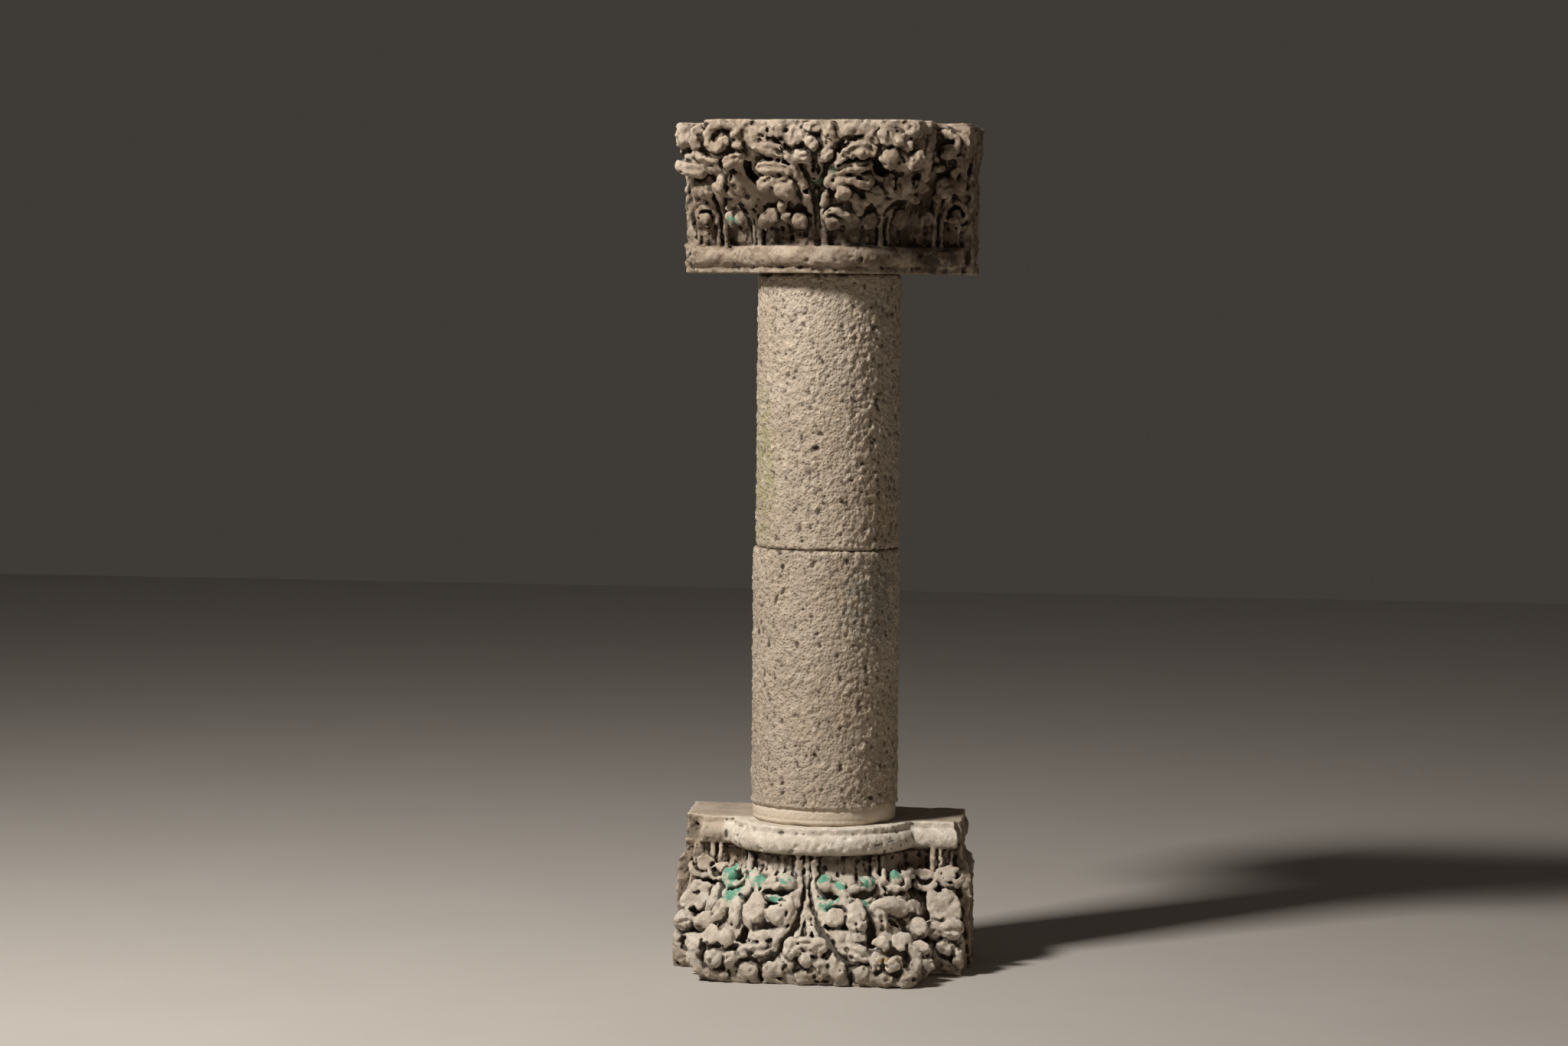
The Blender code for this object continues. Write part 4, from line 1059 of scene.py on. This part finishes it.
def place_stone(mesh, base, upwards):
    """Moves a carved mesh from its own millimetres into the column's metres; returns the places it had."""
    places = point_values(mesh)
    world = np.column_stack([places[:, 0], -places[:, 1], places[:, 2] * upwards]) * MM
    world[:, 2] += base
    mesh.vertices.foreach_set("co", world.ravel())
    mesh.update()
    face_outwards(mesh)
    for face in mesh.polygons:
        face.use_smooth = True
    return places


def carved_stone(upper, seed):
    """One capital's stone: the block, its leaves and flowers, its losses and its weathering."""
    stone = Stone((-288, -184, -4), (288, 264, HEIGHT + 4), GRAIN)
    add_block(stone, UPPER_SKEW if upper else LOWER_SKEW, upper)
    flutes(stone)
    leaves, flowers, losses = lower_leaves, lower_flowers, lower_losses
    if upper:
        leaves, flowers, losses = upper_leaves, upper_flowers, upper_losses
    leaves(stone)
    flatten_face(stone)
    flowers(stone)
    flatten_face(stone, FLOWER_RELIEF)
    losses(stone)
    weather(stone, seed)
    return stone


def wear_layers(mesh, stone, places, normals, upper):
    """Layers of grime and painted shade in the hollows, of wear and painted highlight on the ridges, and of
    grime and painted shade on the rough sides.
    """
    solid = np.clip(0.5 - stone.skin / stone.step, 0.0, 1.0)

    def share(reach, ahead):
        """The share of stone in a box ahead of each place."""
        return read_grid(blur(solid, max(int(reach / GRAIN), 1)), stone.axes, places + normals * ahead)

    _, v, h = places.T
    off_beds = ease((h - 1.0) / 4.0) * ease((HEIGHT - 1.0 - h) / 4.0)
    off_back = ease((v + SLAB_DEPTH - 3.0) / 4.0)
    # hollow: how closed in by stone each place is; the material darkens it as grime and as painted shade
    hollow = np.clip(share(5.0, 6.5) * 1.3 + share(15.0, 17.0) * 1.9, 0.0, 1.0)
    set_layer(mesh, "hollow", hollow * off_beds * off_back)
    # Convex edges, lightened in the material: part edge wear, part painted highlight
    set_layer(mesh, "ridge_wear_and_highlight", ease((0.44 - share(7.0, 0.0)) / 0.18) * (0.45 if upper else 1.0))
    # The slab behind the carving, darkened in the material: part grime, part painted shade
    set_layer(mesh, "rough_side", ease((4.0 - v) / 12.0) * (0.25 + 0.75 * ease((h - 2.0) / 5.0)))


def upper_layers(mesh, places):
    """Dirt, patina, painted shade and traces of colour on the upper capital."""
    x, v, h = places.T
    set_layer(mesh, "soot", spots(places, UPPER_SOOT))
    set_layer(mesh, "mint", 0.72 * spots(places, UPPER_MINT))
    set_layer(mesh, "moss", spots(places, UPPER_MOSS))
    # The bell above the astragal, under the leaves, painted dark: part grime, part painted shade
    above_torus = (1.0 - ease((h - 64) / 56.0)) * ease((h - 46) / 8.0)
    set_layer(mesh, "neck_dirt_and_shade", above_torus * ease((v - 10.0) / 20.0))
    # The lower and right parts painted darker: painted shade over the patina
    low_part = 1.0 - ease((h - 50.0) / 90.0)
    right_part = ease((x - 20.0) / 130.0)
    set_layer(mesh, "patina_and_shade", 0.56 + 0.24 * low_part + 0.24 * right_part + 0.7 * spots(places, UPPER_PATINA_AND_SHADE))


def lower_layers(mesh, places):
    """Dirt, patina, painted shade, washed stone with painted highlight, and traces of colour on the
    turned-over capital.
    """
    x, v, h = places.T
    front = ease((v - 30.0) / 60.0)
    set_layer(mesh, "mint", spots(places, LOWER_MINT))
    set_layer(mesh, "ochre", spots(places, LOWER_OCHRE))
    # The wings painted darker: part patina, part painted shade
    set_layer(mesh, "patina_and_shade", 0.85 * spots(places, LOWER_PATINA_AND_SHADE))
    set_layer(mesh, "floor_dirt", ease((h - 150.0) / 110.0))
    # The bell below the astragal, under the leaves, painted dark: part grime, part painted shade
    set_layer(mesh, "neck_dirt_and_shade", 0.8 * (1.0 - ease((h - 56) / 34.0)) * ease((h - 44) / 8.0) * front)
    set_layer(mesh, "ink", ink_marks(places))
    # The leaves and torus painted lighter: part washed stone, part painted highlight
    leaves = 0.74 * ease((h - 60.0) / 20.0) * (1.0 - ease((h - 215.0) / 40.0)) * front
    torus = (1.0 - ease((h - 42.0) / 6.0)) * ease((v - 8.0) / 16.0) * ease((x + 184.0) / 10.0)
    set_layer(mesh, "washed_and_lit", leaves + torus)


def capital(name, upper, seed):
    """One capital: carved, weathered, skinned, thinned out and given its layers of dirt, painted shade,
    painted highlight and colour.
    """
    stone = carved_stone(upper, seed)
    obj = show(name, skinned(stone, name))
    thin_out(obj, CAPITAL_FACES)
    mesh = obj.data
    low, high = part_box("upper_capital" if upper else "lower_capital")
    upwards = 1.0 if upper else -1.0
    places = place_stone(mesh, low[2] if upper else high[2], upwards)
    normals = point_values(mesh, True) * np.array([1.0, -1.0, upwards])
    wear_layers(mesh, stone, places, normals, upper)
    if upper:
        upper_layers(mesh, places)
    else:
        lower_layers(mesh, places)
    return obj


def ink_marks(places):
    """A few plain strokes on the torus, where the photograph has a stock mark."""
    across = np.degrees(np.arctan2(places[:, 0], places[:, 1])) * 3.0
    up = places[:, 2]
    made = np.zeros(len(places))
    for start, end in INK_STROKES:
        run = np.subtract(end, start)
        t = np.clip(((across - start[0]) * run[0] + (up - start[1]) * run[1]) / (run @ run), 0.0, 1.0)
        far = np.hypot(across - start[0] - t * run[0], up - start[1] - t * run[1])
        made = np.maximum(made, 1.0 - ease((far - 0.8) / 1.6))
    return made * (places[:, 1] > 60.0)


def drum_profile(z, radius, edge, footed):
    """The radius at each height, with worn arrises and rings at the foot, and the smooth band's share."""
    profile = radius - ARRIS * (1.0 - ease(edge / (ARRIS * 1.5))) ** 2
    smooth = np.zeros(len(z))
    if footed:
        smooth = 1.0 - ease((z - FOOT_BAND + 1.0) / 4.0)
        profile -= FOOT_DEPTH * 0.6 * smooth
        for height, swell, width in FOOT_RINGS:
            profile += swell * np.exp(-((z - height) / width) ** 2)
    return profile, smooth


def tube_faces(around, rows):
    """Faces of a closed skin of points that run up the drum, column by column."""
    columns = rows + 1
    faces = []
    for i in range(around):
        j = (i + 1) % around
        for k in range(rows):
            faces.append((i * columns + k, j * columns + k, j * columns + k + 1, i * columns + k + 1))
    return faces


def close_end(verts, faces, rim, centre, radius, height, angle):
    """Closes an end of a drum with two rings of faces and a fan."""
    around = len(rim)
    for share in (0.9, 0.6):
        inner = list(range(len(verts), len(verts) + around))
        for a in angle:
            verts.append((centre[0] + share * radius * MM * math.sin(a),
                          centre[1] - share * radius * MM * math.cos(a), height))
        for i in range(around):
            j = (i + 1) % around
            faces.append((rim[i], rim[j], inner[j], inner[i]))
        rim = inner
    verts.append((centre[0], centre[1], height))
    for i in range(around):
        faces.append((rim[i], rim[(i + 1) % around], len(verts) - 1))


def drum_mesh(name, shaped, angle, z, radius, low, high):
    """A drum's skin of shaped radii, closed at both beds."""
    centre = ((low[0] + high[0]) / 2.0, (low[1] + high[1]) / 2.0)
    around, rows = len(angle), len(z) - 1
    x = shaped * np.sin(angle)[:, None]
    y = -shaped * np.cos(angle)[:, None]
    verts = np.stack([x * MM + centre[0], y * MM + centre[1],
                      np.broadcast_to(z * MM + low[2], x.shape)], axis=-1).reshape(-1, 3).tolist()
    faces = tube_faces(around, rows)
    for level, height in ((0, low[2]), (rows, high[2])):
        rim = [i * (rows + 1) + level for i in range(around)]
        close_end(verts, faces, rim, centre, radius, height, angle)
    mesh = mesh_from(name, verts, faces)
    bm = bmesh.new()
    bm.from_mesh(mesh)
    bmesh.ops.recalc_face_normals(bm, faces=bm.faces)
    bm.to_mesh(mesh)
    bm.free()
    for face in mesh.polygons:
        face.use_smooth = True
    return mesh


def drum(name, node, footed, seed):
    """One drum: a fine turned skin with tool marks, worn and chipped edges, and closed beds."""
    low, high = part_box(node)
    radius = (high[1] - low[1]) / 2.0 / MM
    tall = (high[2] - low[2]) / MM
    around = int(2.0 * math.pi * radius / DRUM_STEP)
    z = np.linspace(0.0, tall, int(tall / DRUM_STEP) + 1)
    angle = np.linspace(0.0, 2.0 * math.pi, around, endpoint=False)
    lap = around // 16
    long_axes = (np.arange(around + lap) * (angle[1] * radius), z)

    def sheet(spacings, key):
        """Noise over the drum's skin; its two ends run into one another over the lap."""
        made = lattice_noise(long_axes, spacings, seed + key)
        share = ease(np.arange(lap) / lap)[:, None]
        made[:lap] = made[:lap] * share + made[around:] * (1.0 - share)
        return made[:around]

    edge = np.minimum(z, tall - z)
    at_edge = (1.0 - ease(edge / 9.0))[None, :]
    profile, smooth = drum_profile(z, radius, edge, footed)
    dressed = sheet((3.5, 3.5), 1) * 0.74 + sheet((4.6, 6.0), 2) * 0.46 + sheet((9.0, 7.0), 3) * 0.20
    wavy = sheet((52.0, 34.0), 4) * 0.30
    chips = np.maximum(sheet((16.0, 7.0), 5) - 0.55, 0.0) * 3.2
    chips = chips + np.maximum(sheet((38.0, 10.0), 6) - 1.2, 0.0) * 4.5
    pits = np.maximum(sheet((8.0, 8.0), 7) - 2.1, 0.0) * 2.2
    shaped = profile[None, :] + dressed * (1.0 - 0.8 * smooth)[None, :] + wavy
    shaped -= chips * at_edge + pits
    obj = show(name, drum_mesh(name, shaped, angle, z, radius, low, high))

    pad = np.zeros(len(obj.data.vertices) - shaped.size)

    def drum_layer(layer, values):
        """Keeps a layer of the skin, with nothing on the beds."""
        set_layer(obj.data, layer, np.append(np.broadcast_to(values, shaped.shape).ravel(), pad))

    # Low spots of the tooled skin, its chips and pits, darkened through the hollow layer: part grime, part
    # painted shade
    low_spots = ease((-dressed - 0.4) / 1.8) * 0.55 * (1.0 - 0.7 * smooth)[None, :]
    worn = ease((chips * at_edge + pits * 1.6) / 3.5) * 0.55 + 0.45 * (1.0 - ease(edge / 3.0))[None, :]
    drum_layer("hollow", low_spots + worn)
    # High points of the tooled skin, lightened in the material as a painted highlight
    drum_layer("ridge_wear_and_highlight", ease((dressed - 0.2) / 1.5) * (1.0 - 0.6 * smooth)[None, :])
    drum_layer("smooth_band", smooth)
    side = np.degrees(np.where(angle > math.pi, angle - 2 * math.pi, angle))[:, None]
    if footed:
        drum_layer("stain", np.exp(-((side - 48) / 30.0) ** 2 - ((z[None, :] - 400) / 90.0) ** 2))
    else:
        drum_layer("lichen", np.exp(-((side + 62) / 30.0) ** 2) * (0.6 + 0.4 * np.sin(z / 90.0))[None, :])
    return obj


class Nodes:
    """A material under construction, with short calls for the nodes that it needs."""

    def __init__(self, name):
        self.material = bpy.data.materials.new(name)
        self.material.use_nodes = True
        self.tree = self.material.node_tree
        self.shader = self.tree.nodes["Principled BSDF"]
        self.coords = self.tree.nodes.new("ShaderNodeTexCoord").outputs["Object"]

    def feed(self, socket, value):
        """Links a socket to another, or sets its value."""
        if isinstance(value, bpy.types.NodeSocket):
            self.tree.links.new(value, socket)
        else:
            socket.default_value = value

    def noise(self, scale, detail=4.0, rough=0.55):
        """Cloudy noise, about 0 to 1, with a number of clouds to the metre."""
        node = self.tree.nodes.new("ShaderNodeTexNoise")
        node.inputs["Scale"].default_value = scale
        node.inputs["Detail"].default_value = detail
        node.inputs["Roughness"].default_value = rough
        self.feed(node.inputs["Vector"], self.coords)
        return node.outputs["Fac"]

    def cells(self, scale):
        """The distance from the middle of the nearest cell."""
        node = self.tree.nodes.new("ShaderNodeTexVoronoi")
        node.inputs["Scale"].default_value = scale
        self.feed(node.inputs["Vector"], self.coords)
        return node.outputs["Distance"]

    def layer(self, name):
        """A layer that the mesh carries, or 0 where it carries none."""
        node = self.tree.nodes.new("ShaderNodeAttribute")
        node.attribute_name = name
        return node.outputs["Fac"]

    def sums(self, operation, a, b):
        """Two values put together by a Math node."""
        node = self.tree.nodes.new("ShaderNodeMath")
        node.operation = operation
        self.feed(node.inputs[0], a)
        self.feed(node.inputs[1], b)
        return node.outputs[0]

    def times(self, a, b):
        """One value times another."""
        return self.sums("MULTIPLY", a, b)

    def between(self, value, low, high, to_low=0.0, to_high=1.0):
        """Spreads a value from low and high to 0 and 1, softly and clamped."""
        node = self.tree.nodes.new("ShaderNodeMapRange")
        node.interpolation_type = "SMOOTHSTEP"
        self.feed(node.inputs["Value"], value)
        node.inputs["From Min"].default_value = low
        node.inputs["From Max"].default_value = high
        node.inputs["To Min"].default_value = to_low
        node.inputs["To Max"].default_value = to_high
        return node.outputs["Result"]

    def mix(self, factor, a, b):
        """A colour between two, by a factor."""
        node = self.tree.nodes.new("ShaderNodeMix")
        node.data_type = "RGBA"
        self.feed(node.inputs["Factor"], factor)
        colours = [socket for socket in node.inputs if socket.type == "RGBA"]
        for socket, value in zip(colours, (a, b)):
            self.feed(socket, value if isinstance(value, bpy.types.NodeSocket) else (*value, 1.0))
        return [socket for socket in node.outputs if socket.type == "RGBA"][0]

    def bump(self, height, strength, distance, below=None):
        """Fine relief over what lies below it."""
        node = self.tree.nodes.new("ShaderNodeBump")
        node.inputs["Strength"].default_value = strength
        node.inputs["Distance"].default_value = distance
        self.feed(node.inputs["Height"], height)
        if below:
            self.feed(node.inputs["Normal"], below)
        return node.outputs["Normal"]


def scaled(colour, share):
    """A colour made darker or lighter, up to white."""
    return [min(1.0, share * c) for c in colour]


def limestone(name, palette, tooled):
    """Weathered limestone: cream with warm and grey clouds, grime and painted shade in the hollows, wear and
    painted highlight on the ridges, paint and stains.
    """
    clean, warm, grey, dirt_and_shade = palette
    nodes = Nodes(name)
    clouds = nodes.between(nodes.noise(7.0, 5.0, 0.6), 0.36, 0.66)
    patches = nodes.between(nodes.noise(21.0, 6.0, 0.65), 0.40, 0.66)
    speckle = nodes.between(nodes.noise(160.0, 4.0, 0.7), 0.36, 0.68)
    grains = nodes.noise(620.0, 3.0, 0.7)
    breakup = nodes.noise(58.0, 5.0, 0.65)
    colour = nodes.mix(clouds, clean, warm)
    colour = nodes.mix(nodes.times(patches, 0.55), colour, grey)
    colour = nodes.mix(nodes.times(speckle, 0.30), colour, scaled(clean, 0.80))
    colour = nodes.mix(nodes.between(grains, 0.60, 0.76, 0.0, 0.35), colour, scaled(grey, 0.55))
    if tooled:
        # The tooth-mark dents painted darker grey: part dust, part painted shade
        dusty_and_shaded = nodes.between(nodes.cells(TOOTH_MARKS), 0.05, 0.42, 0.42, 0.0)
        colour = nodes.mix(dusty_and_shaded, colour, scaled(grey, 0.62))

    uneven = nodes.between(breakup, 0.2, 0.8, -0.20, 0.20)
    # Grime and painted shade in the hollows, taken from the hollow layer
    grime_and_shade = nodes.between(nodes.sums("ADD", nodes.layer("hollow"), uneven), 0.10, 0.62)
    film = nodes.times(nodes.layer("floor_dirt"), nodes.between(patches, 0.0, 1.0, 0.35, 0.75))
    colour = nodes.mix(film, colour, FLOOR_FILM)
    mottled = nodes.between(nodes.noise(30.0, 6.0, 0.7), 0.38, 0.62, 0.15, 1.0)
    # Patina, with painted shade on the sides and parts away from the light
    colour = nodes.mix(nodes.times(nodes.layer("patina_and_shade"), mottled), colour, PATINA_AND_SHADE)
    # The band at the neck painted dark: part grime, part painted shade
    bed = nodes.times(nodes.layer("neck_dirt_and_shade"), nodes.between(breakup, 0.30, 0.66, 0.50, 0.95))
    colour = nodes.mix(bed, colour, NECK_GRIME_AND_SHADE)
    # The rough slab sides painted darker: part grime, part painted shade
    rough_side = nodes.times(nodes.layer("rough_side"), nodes.between(patches, 0.0, 1.0, 0.50, 0.90))
    colour = nodes.mix(rough_side, colour, SIDE_GRIME_AND_SHADE)
    # The hollows painted nearly black: part grime, part painted shade
    colour = nodes.mix(nodes.times(grime_and_shade, 0.92), colour, dirt_and_shade)
    # Ridges painted lighter than the clean stone: part wear, part painted highlight
    ridge_wear_and_highlight = nodes.times(nodes.layer("ridge_wear_and_highlight"), nodes.between(breakup, 0.35, 0.65, 0.15, 0.60))
    colour = nodes.mix(ridge_wear_and_highlight, colour, scaled(clean, 1.42))
    if tooled:
        colour = nodes.mix(nodes.times(nodes.layer("smooth_band"), 0.70), colour, SMOOTH_STONE)
    # Washed stone painted lighter: part cleaner stone, part painted highlight
    washed_and_lit = nodes.times(nodes.layer("washed_and_lit"), nodes.between(breakup, 0.25, 0.60, 0.95, 0.35))
    colour = nodes.mix(nodes.times(washed_and_lit, nodes.between(grime_and_shade, 0.0, 1.0, 1.0, 0.25)), colour, WASHED_AND_LIT_STONE)

    worn = nodes.between(nodes.noise(46.0, 6.0, 0.7), 0.40, 0.58)
    for layer, tint, low, strength in TRACES:
        flaked = nodes.times(nodes.layer(layer), nodes.between(worn, 0.0, 1.0, 0.30, 1.0))
        colour = nodes.mix(nodes.between(flaked, low, 0.72, 0.0, strength), colour, tint)
    # Pinholes painted dark with the hollows' colour: part dirt, part painted shade
    pinholes = nodes.between(nodes.cells(78.0), 0.07, 0.16, 1.0, 0.0)
    sparse = nodes.times(pinholes, nodes.between(nodes.noise(33.0), 0.52, 0.66))
    colour = nodes.mix(nodes.times(sparse, 0.55), colour, dirt_and_shade)
    nodes.feed(nodes.shader.inputs["Base Color"], colour)
    nodes.feed(nodes.shader.inputs["Roughness"], nodes.between(grains, 0.3, 0.7, 0.80, 0.96))
    nodes.shader.inputs["Specular IOR Level"].default_value = 0.22

    normal = nodes.bump(nodes.noise(300.0, 5.0, 0.7), 0.75, 0.0012)
    if tooled:
        plain = nodes.between(nodes.layer("smooth_band"), 0.2, 0.9, 1.0, 0.15)
        normal = nodes.bump(nodes.times(nodes.noise(190.0, 4.0, 0.65), plain), 0.85, 0.0032, normal)
        dents = nodes.times(nodes.between(nodes.cells(TOOTH_MARKS), 0.0, 0.6), plain)
        normal = nodes.bump(dents, 0.80, 0.0022, normal)
    else:
        normal = nodes.bump(nodes.noise(105.0, 6.0, 0.7), 0.85, 0.0034, normal)
    normal = nodes.bump(nodes.times(sparse, -1.0), 0.60, 0.0020, normal)
    nodes.feed(nodes.shader.inputs["Normal"], normal)
    return nodes.material


def add_camera():
    """The photograph's camera; the column stands turned a little to it."""
    pitch, yaw, roll = math.radians(CAMERA_PITCH), math.radians(CAMERA_YAW), math.radians(CAMERA_ROLL)
    ahead = Vector((math.sin(yaw) * math.cos(pitch), math.cos(yaw) * math.cos(pitch), -math.sin(pitch)))
    level = Vector((math.cos(yaw), -math.sin(yaw), 0.0))
    upright = level.cross(ahead)
    right = math.cos(roll) * level + math.sin(roll) * upright
    up = -math.sin(roll) * level + math.cos(roll) * upright
    turn = Matrix.Rotation(math.radians(COLUMN_TURN), 3, "Z")
    axes = [turn @ right, turn @ up, turn @ -ahead]
    data = bpy.data.cameras.new("camera")
    data.sensor_width = 36.0
    data.lens = CAMERA_LENS
    data.clip_end = 100.0
    camera = show("camera", data)
    frame_matrix = Matrix(axes).transposed().to_4x4()
    frame_matrix.translation = turn @ Vector((0.0, -CAMERA_DISTANCE, CAMERA_HEIGHT))
    camera.matrix_world = frame_matrix
    bpy.context.scene.camera = camera


def add_light(name, place, size, power, colour):
    """A square light that looks at the middle of the column."""
    data = bpy.data.lights.new(name, "AREA")
    data.size = size
    data.energy = power
    data.color = colour
    light = show(name, data)
    light.location = place
    light.rotation_euler = (Vector(LIT_POINT) - Vector(place)).to_track_quat("-Z", "Y").to_euler()


def add_room():
    """A plain pale floor and soft studio light, the main light from the upper left."""
    nodes = Nodes("studio_floor")
    nodes.feed(nodes.shader.inputs["Base Color"], nodes.mix(nodes.noise(3.0), *FLOOR_TONES))
    nodes.shader.inputs["Roughness"].default_value = 0.85
    corners = [(-FLOOR_REACH, -FLOOR_REACH, 0), (FLOOR_REACH, -FLOOR_REACH, 0),
               (FLOOR_REACH, FLOOR_REACH, 0), (-FLOOR_REACH, FLOOR_REACH, 0)]
    floor = show("studio_floor", mesh_from("studio_floor", corners, [(0, 1, 2, 3)]))
    floor.data.materials.append(nodes.material)
    world = bpy.data.worlds.new("studio")
    world.use_nodes = True
    sky = world.node_tree.nodes["Background"]
    sky.inputs["Color"].default_value = SKY_COLOUR
    sky.inputs["Strength"].default_value = SKY_STRENGTH
    bpy.context.scene.world = world
    bpy.context.scene.view_settings.view_transform = "Standard"
    for light in LIGHTS:
        add_light(*light)


def outer_box(objects):
    """The low and high corners round all the objects, as plain lists."""
    places = np.vstack([point_values(obj.data) for obj in objects])
    return places.min(axis=0).tolist(), places.max(axis=0).tolist()


def main():
    """Camera, room and the four stones, each in place of its solid."""
    add_camera()
    add_room()
    aged = limestone("aged_limestone_look", AGED_PALETTE, False)
    shaft = limestone("tooled_limestone_look", SHAFT_PALETTE, True)
    pieces = (("lower_capital", capital("carved_lower_capital", False, 11), aged),
              ("lower_drum", drum("dressed_lower_drum", "lower_drum", True, 31), shaft),
              ("upper_drum", drum("dressed_upper_drum", "upper_drum", False, 51), shaft),
              ("upper_capital", capital("carved_upper_capital", True, 71), aged))
    for node, obj, material in pieces:
        obj.data.materials.clear()
        obj.data.materials.append(material)
        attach(obj, "root")
        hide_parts(node)
    low, high = outer_box([obj for _, obj, _ in pieces])


main()
